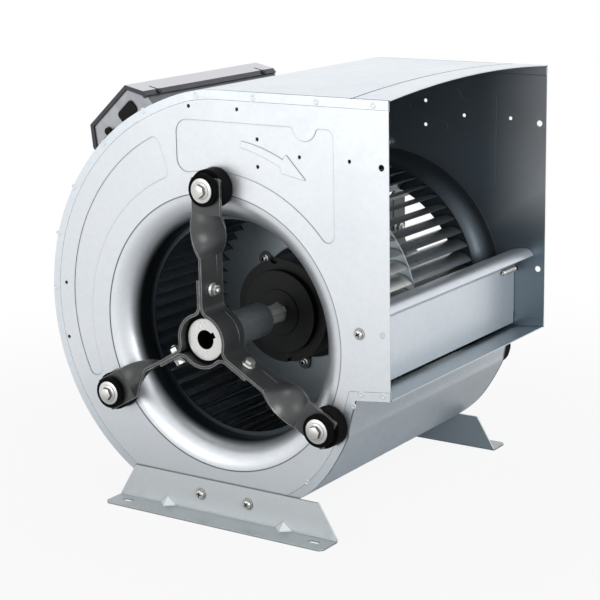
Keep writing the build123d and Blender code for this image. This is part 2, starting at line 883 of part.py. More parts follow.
# Rubber mounts of the arms, each clamped to the side plate by a bolt through a sleeve
mount_place = (mount_circle, 0)
buffer_front = arm_front + buffer_height
washer_front = buffer_front + washer_sheet
sleeve_gap = mount_sleeve_radius + rubber_gap
bolt_hole = mount_bolt_radius + mount_bolt_gap
mount_pad = joined(
    disc_on(mount_place, pad_radius, half_width, arm_back, sleeve_gap),
    disc_on(mount_place, pad_neck_radius, arm_back, arm_front, sleeve_gap),
)
mount_buffer = disc_on(mount_place, buffer_radius, arm_front, buffer_front, sleeve_gap)
mount_sleeve = disc_on(mount_place, mount_sleeve_radius, half_width, buffer_front, bolt_hole)
mount_washer = disc_on(mount_place, washer_radius, buffer_front, washer_front, bolt_hole)
bolt_head_front = washer_front + 1.32 * mount_bolt_radius
mount_bolt = joined(
    hexagon_on(mount_place, 3.25 * mount_bolt_radius, washer_front, bolt_head_front),
    disc_on(mount_place, mount_bolt_radius, half_width - mount_bolt_reach, washer_front),
)
mount_nut = disc_on(
    mount_place,
    mount_nut_radius,
    plate_inside - mount_nut_height,
    plate_inside,
    mount_bolt_radius + thread_gap,
)
save_pair(around(mount_pad), "mount_pads")
save_pair(around(mount_buffer), "mount_buffers")
save(both_sides(around(mount_sleeve)), "mount_sleeves")
save(both_sides(around(mount_washer)), "mount_washers")
save(both_sides(around(mount_bolt)), "mount_bolts")
save(both_sides(around(mount_nut)), "mount_nuts")


def key_block(width, foot_height, top_height_of_key, start, end):
    """A bar along the shaft at the key's angle, for the key or for cutting its slots."""
    turn = Vector(*polar((foot_height + top_height_of_key) / 2, key_angle))
    with BuildPart() as bar:
        with BuildSketch(front(start)):
            with Locations(Location((turn.X, turn.Y), key_angle)):
                Rectangle(top_height_of_key - foot_height, width)
        extrude(amount=end - start)
    return bar.part


# Hub sleeve in a rubber ring inside the straps, keyed to the fixed motor shaft
hub_front = half_width + hub_proud
hub_back = hub_front - hub_tube_length
collar_back = hub_front - hub_collar_length
slot_width = key_width + 2 * key_slot_gap

hub_collar = tube(bore_radius, hub_collar_radius, -hub_front, -collar_back)
hub_tube = tube(bore_radius, hub_tube_radius, -collar_back, -hub_back)
hub_keyway = key_block(slot_width, key_foot, keyway_radius, hub_back, hub_front)

with BuildPart() as hub_sleeve:
    add([hub_collar, hub_tube])
    add(hub_keyway, mode=Mode.SUBTRACT)

save_pair(hub_sleeve.part, "hub_sleeve")

hub_rubber = tube(
    hub_collar_radius + rubber_gap / 2,
    strap_hub_radius - rubber_gap,
    -(hub_front - hub_rubber_margin),
    -(collar_back + hub_rubber_margin),
)
save_pair(hub_rubber, "hub_rubber")

shaft_bar = disc_on((0, 0), shaft_radius, -shaft_half, shaft_half)
slot_foot = key_foot - key_slot_gap
slot_start = key_start - key_slot_gap
slot_end = key_end + key_slot_gap
shaft_slots = [
    key_block(slot_width, slot_foot, keyway_radius, slot_start, slot_end),
    key_block(slot_width, slot_foot, keyway_radius, -slot_end, -slot_start),
]

with BuildPart() as motor_shaft:
    add(shaft_bar)
    add(shaft_slots, mode=Mode.SUBTRACT)

save(motor_shaft.part, "motor_shaft")
shaft_key = key_block(key_width, key_foot, key_top, key_start, key_end)
save(both_sides(shaft_key), "shaft_keys")

# External rotor motor: the shell, cover, core and outer bearing rings turn with the wheel
seat_inner = bearing_radius + running_gap
seat_outer = seat_inner + seat_wall
bore_wall = rotor_radius - rotor_wall
cover_front = rotor_half + cover_sheet
cap_front = cover_front + cap_height
boss_front = cap_front + boss_height
front_bearing_front = boss_front - seat_cap
front_bearing_back = front_bearing_front - bearing_width
rear_bearing_front = rotor_half - bearing_width
flange_back = disc_half
flange_front = flange_back + flange_sheet

shell_can = turned(
    [
        (rotor_radius, -rotor_half),
        (rotor_radius, rotor_half),
        (seat_outer, rotor_half),
        (seat_outer, rotor_half + seat_cap),
        (shaft_opening, rotor_half + seat_cap),
        (shaft_opening, rotor_half),
        (seat_inner, rotor_half),
        (seat_inner, rear_bearing_front),
        (seat_outer, rear_bearing_front),
        (seat_outer, rotor_half - rotor_floor),
        (bore_wall, rotor_half - rotor_floor),
        (bore_wall, -rotor_half),
    ]
)
shell_flange = tube(bore_wall + 1, flange_radius, -flange_front, -flange_back)
ear_places = [polar(ear_circle, angle) for angle in ear_angles]

with BuildPart() as rotor_shell:
    add([shell_can, shell_flange])
    for angle in ear_angles:
        with BuildSketch(front(flange_back)):
            with Locations(polar(ear_circle, angle)):
                Circle(ear_radius)
        extrude(amount=flange_sheet)
        with BuildSketch(front(flange_back)):
            with Locations(Location(polar((flange_radius + ear_circle) / 2, angle), angle)):
                Rectangle(ear_circle - flange_radius + 4, 2 * ear_radius)
        extrude(amount=flange_sheet)
    cut_round(ear_places, rotor_screw_radius + screw_hole_gap, flange_back, flange_front)

save(rotor_shell.part, "rotor_shell")

cover_cap = turned(
    [
        (shaft_opening, -boss_front),
        (boss_radius, -boss_front),
        (boss_radius, -cap_front),
        (cap_radius, -cap_front),
        (cap_radius, -cover_front),
        (rotor_radius, -cover_front),
        (rotor_radius, -rotor_half),
        (cap_radius - cap_wall, -rotor_half),
        (cap_radius - cap_wall, cap_wall - cap_front),
        (seat_outer, cap_wall - cap_front),
        (seat_outer, -front_bearing_back),
        (seat_inner, -front_bearing_back),
        (seat_inner, -front_bearing_front),
        (shaft_opening, -front_bearing_front),
    ]
)
cover_notches = [polar(rotor_radius, angle) for angle in cover_notch_angles]

with BuildPart() as rotor_cover:
    add(cover_cap)
    cut_round(cover_notches, cover_notch_radius, rotor_half, cover_front)

save(rotor_cover.part, "rotor_cover")
save(tube(core_radius, bore_wall - running_gap, -core_half, core_half), "rotor_core")
ring_ends = [(-front_bearing_front, -front_bearing_back), (rear_bearing_front, rotor_half)]
outer_rings = [tube(bearing_split, bearing_radius, start, end) for start, end in ring_ends]
save(joined(*outer_rings), "bearing_outer_rings")
inner_rings = [
    tube(
        shaft_radius + thread_gap,
        bearing_split - running_gap,
        start + air_gap,
        end - air_gap,
    )
    for start, end in ring_ends
]
save(joined(*inner_rings), "bearing_inner_rings")
save(tube(bore_radius + running_gap, core_radius - air_gap, -stator_half, stator_half), "stator_core")
windings = [
    tube(winding_inner, winding_outer, stator_half, stator_half + winding_length),
    tube(winding_inner, winding_outer, -stator_half - winding_length, -stator_half),
]
save(joined(*windings), "stator_windings")

screw_place = (ear_circle, 0)
rotor_screw = joined(
    disc_on(screw_place, 1.75 * rotor_screw_radius, flange_front, flange_front + 1.3 * rotor_screw_radius),
    disc_on(screw_place, rotor_screw_radius, -disc_half - rotor_screw_reach, flange_front),
)
rotor_nut = hexagon_on(
    screw_place,
    3.2 * rotor_screw_radius,
    -disc_half - 1.6 * rotor_screw_radius,
    -disc_half,
    rotor_screw_radius + thread_gap,
)
save(around(rotor_screw, ear_angles), "rotor_screws")
save(around(rotor_nut, ear_angles), "rotor_nuts")

# Wheel: a middle disc with a row of forward-curved blades and an end ring on each side
with BuildPart() as wheel_disc:
    with BuildSketch(front(-disc_half)):
        Circle(wheel_radius)
        Circle(rotor_radius + disc_bore_gap, mode=Mode.SUBTRACT)
    extrude(amount=disc_sheet)
    cut_round(ear_places, rotor_screw_radius + screw_hole_gap, -disc_half, disc_half)

save(wheel_disc.part, "wheel_disc")

blade_center = (blade_inner, -blade_arc_radius)
ring_inside = wheel_half - ring_sheet

with BuildPart() as blades:
    with BuildSketch(front(disc_half)) as blade:
        with BuildLine():
            inner_arc = CenterArc(blade_center, blade_arc_radius - blade_sheet / 2, 90 - blade_arc, blade_arc)
            outer_arc = CenterArc(blade_center, blade_arc_radius + blade_sheet / 2, 90 - blade_arc, blade_arc)
            Line(inner_arc @ 0, outer_arc @ 0)
            Line(inner_arc @ 1, outer_arc @ 1)
        make_face()
    with BuildSketch(front(disc_half)) as blade_row:
        with PolarLocations(0, blade_count):
            add(blade.sketch_local)
    extrude(blade_row.sketch, amount=ring_inside - disc_half, mode=Mode.REPLACE)

save_pair(blades.part, "blades")
save_pair(tube(blade_inner, wheel_radius, -wheel_half, -ring_inside), "end_ring")


def cover_face(inset, foot_level, mode=Mode.ADD):
    """The lid's outline across the box, smaller by the inset, closed at the foot level."""
    slope = atan2(box_top - box_shoulder, box_half - box_top_half)
    shoulder_drop = inset * (1 - cos(slope)) / sin(slope)
    top_pull = inset * sin(slope) / (1 + cos(slope))
    left = [
        (inset - box_half, foot_level),
        (inset - box_half, box_shoulder - shoulder_drop),
        (top_pull - box_top_half, box_top - inset),
    ]
    right = [(-x, y) for x, y in reversed(left)]
    with BuildLine() as outline:
        Polyline(*left, *right, close=True)
    make_face(outline.edges(), mode=mode)


def cut_scroll(reach):
    """Cut the box piece being built along the scroll, a small gap above the wrap."""
    with BuildSketch(front(reach)) as scroll:
        scroll_face(-box_gap)
    extrude(scroll.sketch, amount=-2 * reach, mode=Mode.SUBTRACT)


def rounded_inside(size, inset, corner):
    """A rounded rectangle smaller by the inset all round."""
    RectangleRounded(size[0] - 2 * inset, size[1] - 2 * inset, corner - inset)


# Terminal box on the back of the scroll: a folded base, two end plates and a folded lid
box_wall = box_half - box_sheet - box_gap
box_low = box_floor - box_wall_overlap
wall_top = box_shoulder - box_sheet / 2
rim_back = box_half_length - box_sheet
end_front = rim_back - box_gap
end_back = end_front - box_sheet
floor_top = box_floor + box_sheet
cover_screw_level = (box_skirt + wall_top) / 2
slit_level = box_shoulder + (lid_slit_rise - lid_slit_drop) / 2

with BuildPart() as box_cover:
    with BuildSketch(box_plane(-box_half_length)):
        cover_face(0, box_skirt)
        cover_face(box_sheet, box_skirt - box_sheet, Mode.SUBTRACT)
    extrude(amount=2 * box_half_length)
    for start in (-box_half_length, rim_back):
        with BuildSketch(box_plane(start)):
            cover_face(box_sheet / 2, box_skirt)
            cover_face(box_rim, box_skirt - box_rim, Mode.SUBTRACT)
        extrude(amount=box_sheet)
    for side in (1, -1):
        with BuildSketch(box_side_plane(side, box_half)):
            with Locations((box_screw_y, cover_screw_level), (-box_screw_y, cover_screw_level)):
                Circle(box_screw_radius + screw_hole_gap)
        extrude(amount=-2 * box_sheet, mode=Mode.SUBTRACT)
        with BuildSketch(box_side_plane(side, box_half)):
            with Locations((box_screw_y, slit_level), (-box_screw_y, slit_level)):
                Rectangle(lid_slit_width, lid_slit_rise + lid_slit_drop)
        extrude(amount=-lid_slit_reach, mode=Mode.SUBTRACT)

save(box_cover.part, "terminal_box_cover")

with BuildPart() as box_base:
    with BuildSketch(box_plane(-end_back)):
        with Locations((0, (box_low + wall_top) / 2)):
            Rectangle(2 * box_wall, wall_top - box_low)
        with Locations((0, (box_low + box_floor) / 2)):
            Rectangle(2 * (box_wall - box_sheet), box_floor - box_low, mode=Mode.SUBTRACT)
        with Locations((0, (floor_top + box_top) / 2)):
            Rectangle(2 * (box_wall - box_sheet), box_top - floor_top, mode=Mode.SUBTRACT)
    extrude(amount=2 * end_back)
    cut_scroll(end_back)
    for side in (1, -1):
        with BuildSketch(box_side_plane(side, box_wall)):
            with Locations((box_screw_y, cover_screw_level), (-box_screw_y, cover_screw_level)):
                Circle(box_screw_radius + screw_hole_gap)
        extrude(amount=-box_sheet, mode=Mode.SUBTRACT)
    with BuildSketch(box_top_plane(box_floor)):
        with Locations((0, box_floor_screw_y), (0, -box_floor_screw_y)):
            Circle(box_floor_screw_radius + screw_hole_gap)
    extrude(amount=box_sheet, mode=Mode.SUBTRACT)

save(box_base.part, "terminal_box_base")


with BuildPart() as end_front_plate:
    with BuildSketch(box_plane(end_back)) as end_sketch:
        cover_face(box_sheet + box_gap, box_low)
    extrude(amount=box_sheet)
    cut_scroll(end_front)
    with BuildSketch(box_plane(end_back)) as end_openings:
        with Locations(port_center):
            rounded_inside(port_size, box_sheet, port_corner)
        with Locations(gland_center):
            rounded_inside(gland_size, box_sheet, gland_corner)
    extrude(end_openings.sketch, amount=box_sheet, mode=Mode.SUBTRACT)

with BuildPart() as end_rear_plate:
    with BuildSketch(box_plane(-end_front)):
        cover_face(box_sheet + box_gap, box_low)
    extrude(amount=box_sheet)
    cut_scroll(end_front)

save(end_front_plate.part, "terminal_box_end_front")
save(end_rear_plate.part, "terminal_box_end_rear")

# Plug and cable clamp in the front end plate
with BuildPart() as port_plug:
    with BuildSketch(box_plane(end_front)):
        with Locations(port_center):
            RectangleRounded(*port_size, port_corner)
    extrude(amount=box_sheet)
    with BuildSketch(box_plane(end_front)):
        with Locations(port_center):
            rounded_inside(port_size, box_sheet + box_gap / 2, port_corner)
    extrude(amount=-2 * box_sheet)

save(port_plug.part, "cable_port_plug")

with BuildPart() as cable_gland:
    with BuildSketch(box_plane(end_front)):
        with Locations(gland_center):
            RectangleRounded(*gland_size, gland_corner)
        with Locations(gland_knob):
            Circle(gland_knob_radius)
    extrude(amount=2 * box_sheet)
    with BuildSketch(box_plane(end_back - box_sheet)):
        with Locations(gland_center):
            rounded_inside(gland_size, box_sheet + box_gap / 2, gland_corner)
    extrude(amount=gland_reach)

save(cable_gland.part, "cable_gland")

# Screws of the box
with BuildPart() as cover_screws:
    for side in (1, -1):
        with BuildSketch(box_side_plane(side, box_half)) as heads:
            with Locations((box_screw_y, cover_screw_level), (-box_screw_y, cover_screw_level)):
                Circle(2 * box_screw_radius)
        extrude(amount=box_screw_radius)
        with BuildSketch(box_side_plane(side, box_half)):
            with Locations((box_screw_y, cover_screw_level), (-box_screw_y, cover_screw_level)):
                Circle(box_screw_radius)
        extrude(amount=-box_screw_reach)

save(cover_screws.part, "box_cover_screws")

with BuildPart() as floor_screws:
    with BuildSketch(box_top_plane(floor_top)):
        with Locations((0, box_floor_screw_y), (0, -box_floor_screw_y)):
            Circle(2 * box_floor_screw_radius)
    extrude(amount=box_floor_screw_radius)
    with BuildSketch(box_top_plane(floor_top)):
        with Locations((0, box_floor_screw_y), (0, -box_floor_screw_y)):
            Circle(box_floor_screw_radius)
    extrude(amount=-box_floor_screw_reach)

save(floor_screws.part, "box_floor_screws")

# Terminal block and capacitor on the box's floor
with BuildPart() as terminal_block:
    with BuildSketch(box_top_plane(floor_top)):
        with Locations((0, block_y)):
            Rectangle(block_size[0], block_size[1])
    extrude(amount=block_size[2])

save(terminal_block.part, "terminal_block")

with BuildPart() as capacitor:
    with BuildSketch(box_plane(-capacitor_y)):
        with Locations((box_wall / 2 - capacitor_radius / 2, floor_top + capacitor_radius)):
            Circle(capacitor_radius)
    extrude(amount=capacitor_length)

save(capacitor.part, "capacitor")
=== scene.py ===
# %% [markdown]
# # A centrifugal blower, dressed step by step
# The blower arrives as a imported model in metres: +X leaves the outlet, +Z is up, the front
# inlet faces -Y, and the origin lies in the plane that the feet stand on. Everything below
# adds finishes and small forms to that frame, and moves nothing in it.

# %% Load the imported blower
from math import cos, pi, radians, sin

import bmesh
import bpy
from mathutils import Matrix, Vector


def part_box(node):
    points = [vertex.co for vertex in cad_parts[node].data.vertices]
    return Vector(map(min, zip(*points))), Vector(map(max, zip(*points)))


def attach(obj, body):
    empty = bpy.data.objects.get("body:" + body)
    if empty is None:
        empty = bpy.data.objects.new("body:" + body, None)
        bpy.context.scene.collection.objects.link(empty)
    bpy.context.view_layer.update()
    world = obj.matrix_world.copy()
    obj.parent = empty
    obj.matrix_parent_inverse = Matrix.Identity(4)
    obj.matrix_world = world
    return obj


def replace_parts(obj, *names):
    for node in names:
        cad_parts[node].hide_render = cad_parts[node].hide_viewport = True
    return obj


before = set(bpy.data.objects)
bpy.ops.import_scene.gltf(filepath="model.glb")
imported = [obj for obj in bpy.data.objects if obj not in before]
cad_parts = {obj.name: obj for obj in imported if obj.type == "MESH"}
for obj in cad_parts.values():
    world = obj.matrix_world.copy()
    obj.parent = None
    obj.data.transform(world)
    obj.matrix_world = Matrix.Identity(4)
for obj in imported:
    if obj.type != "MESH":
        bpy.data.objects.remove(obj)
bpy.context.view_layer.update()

# %% [markdown]
# ## Units and the wheel's axis
# Drawings of a blower are dimensioned from the wheel's axis, because every ring, arm and
# scroll point turns about it. The helpers below take millimetres from that axis and give
# metres in the frame, so that each number in this lesson can be checked with a ruler.

# %% Places measured from the wheel's axis
millimetre = 0.001
axis_height = 197.0


def at(x, y, z):
    """A point given in millimetres from the wheel's axis, in metres in the frame."""
    return Vector((x, y, z + axis_height)) * millimetre


def round_axis(radius, angle, y=0.0):
    """A point by its distance from the wheel's axis and its angle from +X."""
    return at(radius * cos(radians(angle)), y, radius * sin(radians(angle)))


print("the wheel's axis is", at(0, 0, 0).z, "m above the floor")

# %% [markdown]
# ## Camera
# The view is from the front right and a little above, through a long lens, so that the
# inlet and the outlet both show and the box lines stay nearly parallel. The place is built
# from the turn about the vertical, the height angle and a small roll, which is easier to
# correct than three Euler angles.

# %% Set up the camera
view_turn = radians(33.99)
view_height = radians(13.633)
view_roll = radians(-1.118)
view_distance = 1929.2
view_shift = (-11.213, 0.421)

backward = Vector((
    sin(view_turn) * cos(view_height), -cos(view_turn) * cos(view_height), sin(view_height),
))
level_right = Vector((cos(view_turn), sin(view_turn), 0.0))
level_up = backward.cross(level_right)
right = level_right * cos(view_roll) + level_up * sin(view_roll)
up = level_up * cos(view_roll) - level_right * sin(view_roll)
eye = at(*(backward * view_distance + right * view_shift[0] + up * view_shift[1]))

camera_data = bpy.data.cameras.new("studio camera")
camera_data.sensor_width = 36.0
camera_data.lens = 106.36
camera_data.clip_end = 30.0
camera = bpy.data.objects.new("studio camera", camera_data)
camera.matrix_world = Matrix((
    (right.x, up.x, backward.x, eye.x),
    (right.y, up.y, backward.y, eye.y),
    (right.z, up.z, backward.z, eye.z),
    (0.0, 0.0, 0.0, 1.0),
))
bpy.context.scene.collection.objects.link(camera)
bpy.context.scene.camera = camera
bpy.context.scene.view_settings.view_transform = "Standard"
print("the camera stands at", [round(value, 3) for value in eye])

# %% [markdown]
# ## Helpers for node materials
# A finish is a small graph: coordinates, a pattern, and a shader. Naming the sockets in one
# call keeps each graph short enough to read. Coordinates are the object's own, so a pattern
# stays on its piece when the piece turns.

# %% Helpers for nodes
def fill_inputs(tree, node, inputs):
    """Link or set a node's input sockets, each found by its name or its number."""
    for name, value in inputs.items():
        if isinstance(value, bpy.types.NodeSocket):
            tree.links.new(value, node.inputs[name])
        else:
            node.inputs[name].default_value = value


def add_node(tree, kind, inputs=None, **settings):
    """Place a shader node, set its properties, and fill its inputs."""
    node = tree.nodes.new("ShaderNode" + kind)
    for name, value in settings.items():
        setattr(node, name, value)
    fill_inputs(tree, node, inputs or {})
    return node


def arithmetic(tree, operation, *values, clamp=False):
    """The result of a Math node."""
    node = add_node(tree, "Math", dict(enumerate(values)), operation=operation, use_clamp=clamp)
    return node.outputs["Value"]


def vector_math(tree, operation, *values):
    """The result of a Vector Math node: a value for a length or a dot product, else a vector."""
    node = add_node(tree, "VectorMath", dict(enumerate(values)), operation=operation)
    return node.outputs["Value" if operation in ("LENGTH", "DOT_PRODUCT") else "Vector"]


def span(tree, value, start, end, low=0.0, high=1.0, smooth=False):
    """A value that goes from low to high while another goes from start to end."""
    node = add_node(tree, "MapRange", {
        "Value": value, "From Min": start, "From Max": end, "To Min": low, "To Max": high,
    }, interpolation_type="SMOOTHSTEP" if smooth else "LINEAR")
    return node.outputs["Result"]


def noise(tree, place, scale, detail, roughness=0.5):
    """A noise pattern between 0 and 1."""
    node = add_node(tree, "TexNoise", {
        "Vector": place, "Scale": scale, "Detail": detail, "Roughness": roughness,
    })
    return node.outputs["Fac"]


def axes(tree, vector):
    """The X, Y and Z of a vector, each as a socket of its own."""
    return add_node(tree, "SeparateXYZ", {"Vector": vector}).outputs


print("node helpers: fill_inputs, add_node, arithmetic, vector_math, span, noise, axes")

# %% [markdown]
# ## Colours and distances in a graph
# A colour is easiest to judge as it looks on a screen, from 0 to 255, while a shader counts
# light, so one helper turns the first into the second. Most borders between tones on a
# blower are rings, so two more measure how far a point lies from the wheel's axis.

# %% Helpers for colours and distances
def linear(red, green, blue):
    """A colour written as screen values from 0 to 255, as the shader wants it."""
    parts = [value / 255 for value in (red, green, blue)]
    parts = [
        part / 12.92 if part <= 0.04045 else ((part + 0.055) / 1.055) ** 2.4 for part in parts
    ]
    return (*parts, 1.0)


def mix_colour(tree, mask, below, above):
    """Lay one colour over another where a mask is 1."""
    return add_node(tree, "Mix", {"Factor": mask, 6: below, 7: above}, data_type="RGBA").outputs[2]


def away_from_axis(tree, place):
    """The way from the wheel's axis to each point, across the axis."""
    from_axis = vector_math(tree, "SUBTRACT", place, (0.0, 0.0, axis_height * millimetre))
    return vector_math(tree, "MULTIPLY", from_axis, (1.0, 0.0, 1.0))


def off_ring(tree, reach, radius):
    """How far each point's distance from the axis is from a radius, in metres."""
    return arithmetic(tree, "ABSOLUTE", arithmetic(tree, "SUBTRACT", reach, radius))


print("a grey of 128 on the screen is", round(linear(128, 128, 128)[0], 3), "in the shader")

# %% [markdown]
# ## Shared effects as node groups
# Zinc, grime, wear and painted light and shade show on many parts. Each becomes one node
# group with named sockets, so that a change made once reaches every material that uses it.

# %% Helpers for node groups
def new_group(name, inputs, outputs):
    """A shader node group, its input sockets, and the node that takes its results.

    Each input is named with the value it rests at, and None stands for a vector.
    """
    group = bpy.data.node_groups.new(name, "ShaderNodeTree")
    for label, value in inputs.items():
        kind = "Vector" if value is None else "Color" if isinstance(value, tuple) else "Float"
        socket = group.interface.new_socket(
            label, in_out="INPUT", socket_type="NodeSocket" + kind,
        )
        if value is not None:
            socket.default_value = value
    for label, kind in outputs.items():
        group.interface.new_socket(label, in_out="OUTPUT", socket_type="NodeSocket" + kind)
    entry = group.nodes.new("NodeGroupInput")
    return group, entry.outputs, group.nodes.new("NodeGroupOutput")


def place_group(tree, group, inputs):
    """Put a shared group into a material's tree, and give its output sockets."""
    return add_node(tree, "Group", inputs, node_tree=group).outputs


print("group helpers: new_group, place_group")

# %% [markdown]
# ## Shared effect: zinc coating
# Steel sheet for ducts is dipped in zinc. The coating freezes in faint crystals, and the
# rolls leave soft streaks along the sheet. A Voronoi pattern gives the crystals and two
# noises the clouds and the streaks; the group puts out a colour, a roughness and a height,
# and the shader stays in each material.

# %% Build the zinc group
zinc_group, zinc_in, zinc_out = new_group(
    "zinc coating",
    {
        "Place": None, "Pale": (0.8, 0.8, 0.8, 1), "Deep": (0.6, 0.6, 0.6, 1),
        "Crystals per metre": 200.0, "Smooth": 0.3, "Rough": 0.45,
    },
    {"Colour": "Color", "Roughness": "Float", "Height": "Float"},
)
crystal_share, cloud_share, streak_share = 0.22, 0.85, 0.3
streak_stretch = (9.0, 240.0, 9.0)

crystals = add_node(zinc_group, "TexVoronoi", {
    "Vector": zinc_in["Place"], "Scale": zinc_in["Crystals per metre"],
}, feature="F1")
crystal_tone = add_node(zinc_group, "SeparateColor", {"Color": crystals.outputs["Color"]}).outputs
clouds = noise(zinc_group, zinc_in["Place"], 14.0, 4.0, 0.55)
streak_place = add_node(zinc_group, "Mapping", {
    "Vector": zinc_in["Place"], "Scale": streak_stretch,
})
streaks = noise(zinc_group, streak_place.outputs["Vector"], 1.0, 3.0, 0.6)
zinc_tone = arithmetic(zinc_group, "MULTIPLY_ADD", crystal_tone["Red"], crystal_share, -0.16)
zinc_tone = arithmetic(zinc_group, "MULTIPLY_ADD", clouds, cloud_share, zinc_tone)
zinc_tone = arithmetic(zinc_group, "MULTIPLY_ADD", streaks, streak_share, zinc_tone, clamp=True)
fill_inputs(zinc_group, zinc_out, {
    "Colour": mix_colour(zinc_group, zinc_tone, zinc_in["Pale"], zinc_in["Deep"]),
    "Roughness": span(zinc_group, zinc_tone, 0.2, 0.8, zinc_in["Smooth"], zinc_in["Rough"]),
    "Height": arithmetic(zinc_group, "MULTIPLY_ADD", streaks, 0.6, crystal_tone["Green"]),
})
print("zinc group with", len(zinc_group.nodes), "nodes")

# %% [markdown]
# ## Shared effect: grime and painted shade in the corners
# Where two sheets meet, along the edges of pressings and down a bore, the colour is darkened:
# painted shade, with the dust and oil that settle there, as a thin dark line. Ambient occlusion
# finds such corners from the shape itself, within a few millimetres, so no line has to be drawn by
# hand.

# %% Build the corner group
corner_group, corner_in, corner_out = new_group(
    "corner grime and shade",
    {"Colour": (0.8, 0.8, 0.8, 1), "Grime and shade": (0.1, 0.1, 0.1, 1), "Reach": 0.003, "Amount": 0.8},
    {"Colour": "Color"},
)
closed_in, open_air = 0.45, 0.97

corner_shade = add_node(
    corner_group, "AmbientOcclusion", {"Distance": corner_in["Reach"]}, samples=8,
)
# Painted shade with grime: darker where the occlusion finds the corner closed in.
grime_and_shade_mask = span(
    corner_group, corner_shade.outputs["AO"], closed_in, open_air, corner_in["Amount"], 0.0,
)
fill_inputs(corner_group, corner_out, {
    "Colour": mix_colour(corner_group, grime_and_shade_mask, corner_in["Colour"], corner_in["Grime and shade"]),
})
print("corner group with", len(corner_group.nodes), "nodes")

# %% [markdown]
# ## Shared effect: zones of a drawn side plate
# A side plate is one sheet with three kinds of surface. The outside keeps its plain tone. The
# inside faces the wheel and is painted darker as shade, except at the top of the outlet, where
# it is left lit. The drawn inlet is painted darker toward its throat as shade, a little
# nearer to the plate on the side away from the outlet, and a fine dark line is drawn round
# the crease where the draw begins. The masks come from the object's own coordinates and
# normals, in metres. The inner faces of the feet take their painted shade from the same group.

# %% Build the zone group
zone_group, zone_in, zone_out = new_group(
    "plate zones",
    {"Place": None, "Normal": None},
    {"Inside": "Float", "Throat shade": "Float", "Line": "Float"},
)
unshaded_from_x, unshaded_to_x = 0.115, 0.22
unshaded_from_z, unshaded_to_z = 0.25, 0.33
throat_lean = 0.03
throat_start, throat_end = 0.154, 0.141
draw_line_radius = 0.1446
line_core, line_edge = 0.0003, 0.0009
draw_outside, draw_inside = 0.146, 0.143

zone_place = axes(zone_group, zone_in["Place"])
zone_normal = axes(zone_group, zone_in["Normal"])
# Painted shade on the inner faces, faded out toward the top of the outlet.
faces_out = arithmetic(zone_group, "MULTIPLY", zone_place["Y"], zone_normal["Y"])
faces_in = span(zone_group, faces_out, 0.01, -0.03)
short_of_outlet = span(
    zone_group, zone_place["X"], unshaded_from_x, unshaded_to_x, 1.0, 0.0, smooth=True,
)
low_down = span(zone_group, zone_place["Z"], unshaded_from_z, unshaded_to_z, 1.0, 0.0, smooth=True)
painted_inside_shade = arithmetic(zone_group, "MAXIMUM", short_of_outlet, low_down)

# Painted shade in the throat, leaning with X, and on the back of the draw.
depth = arithmetic(zone_group, "ABSOLUTE", zone_place["Y"])
leaning_depth = arithmetic(zone_group, "MULTIPLY_ADD", zone_place["X"], throat_lean, depth)
throat = span(zone_group, leaning_depth, throat_start, throat_end, smooth=True)
reach = vector_math(zone_group, "LENGTH", away_from_axis(zone_group, zone_in["Place"]))
within_draw = span(zone_group, reach, draw_outside, draw_inside, 0.0, 0.72)
shaded_back_of_draw = arithmetic(zone_group, "MULTIPLY", within_draw, faces_in)
from_line = off_ring(zone_group, reach, draw_line_radius)
fill_inputs(zone_group, zone_out, {
    "Inside": arithmetic(zone_group, "MULTIPLY", faces_in, painted_inside_shade),
    "Throat shade": arithmetic(zone_group, "MAXIMUM", throat, shaded_back_of_draw),
    "Line": span(zone_group, from_line, line_core, line_edge, 0.75, 0.0),
})
print("zone group with", len(zone_group.nodes), "nodes")

# %% [markdown]
# ## Shared effect: worn and highlighted edges
# Paint is thin on a cut edge and wears off first, and a rounded edge catches the light, so the
# bright thread along the edges of painted steel is wear and painted highlight. The Bevel node
# rounds the normals near an edge, and where the rounded normal leaves the true one, the mask
# is bright. A noise breaks it up.

# %% Build the edge group
edge_group, edge_in, edge_out = new_group(
    "worn and highlighted edges",
    {
        "Place": None, "Colour": (0.1, 0.1, 0.1, 1), "Bare and highlight": (0.6, 0.6, 0.6, 1),
        "Reach": 0.0014, "Amount": 0.95,
    },
    {"Colour": "Color"},
)
flat_likeness, edge_likeness = 0.99, 0.85

rounded = add_node(edge_group, "Bevel", {"Radius": edge_in["Reach"]}, samples=4)
true_shape = add_node(edge_group, "NewGeometry")
likeness = vector_math(
    edge_group, "DOT_PRODUCT", rounded.outputs["Normal"], true_shape.outputs["Normal"],
)
near_edge = span(edge_group, likeness, flat_likeness, edge_likeness)
edge_noise = noise(edge_group, edge_in["Place"], 60.0, 3.0)
edge_patches = span(edge_group, edge_noise, 0.35, 0.6, 0.4, edge_in["Amount"])
edge_mask = arithmetic(edge_group, "MULTIPLY", near_edge, edge_patches)
fill_inputs(edge_group, edge_out, {
    "Colour": mix_colour(edge_group, edge_mask, edge_in["Colour"], edge_in["Bare and highlight"]),
})
print("edge group with", len(edge_group.nodes), "nodes")

# %% [markdown]
# ## Tones that depend on the way a face looks
# Several steps here paint light and shade into the colour: faces that look up, that look away
# from the axis or toward it, or that don't look along it are painted paler in some parts and
# darker in others as the light falls on them, and a curved wall that turns its back to the light
# is painted darker. A few short steps can be laid over any finish: each makes a mask from the
# object's own place or normal, and mixes one tone in where the mask is 1.

# %% Steps laid over a finish
def shade_upper(tree, colour, tone, top=10.0):
    """Give the faces that look up, below a height in metres, their own tone."""
    own = add_node(tree, "TexCoord").outputs
    facing_up = span(tree, axes(tree, own["Normal"])["Z"], 0.78, 0.86)
    low = arithmetic(tree, "LESS_THAN", axes(tree, own["Object"])["Z"], top)
    return mix_colour(tree, arithmetic(tree, "MULTIPLY", facing_up, low), colour, linear(*tone))


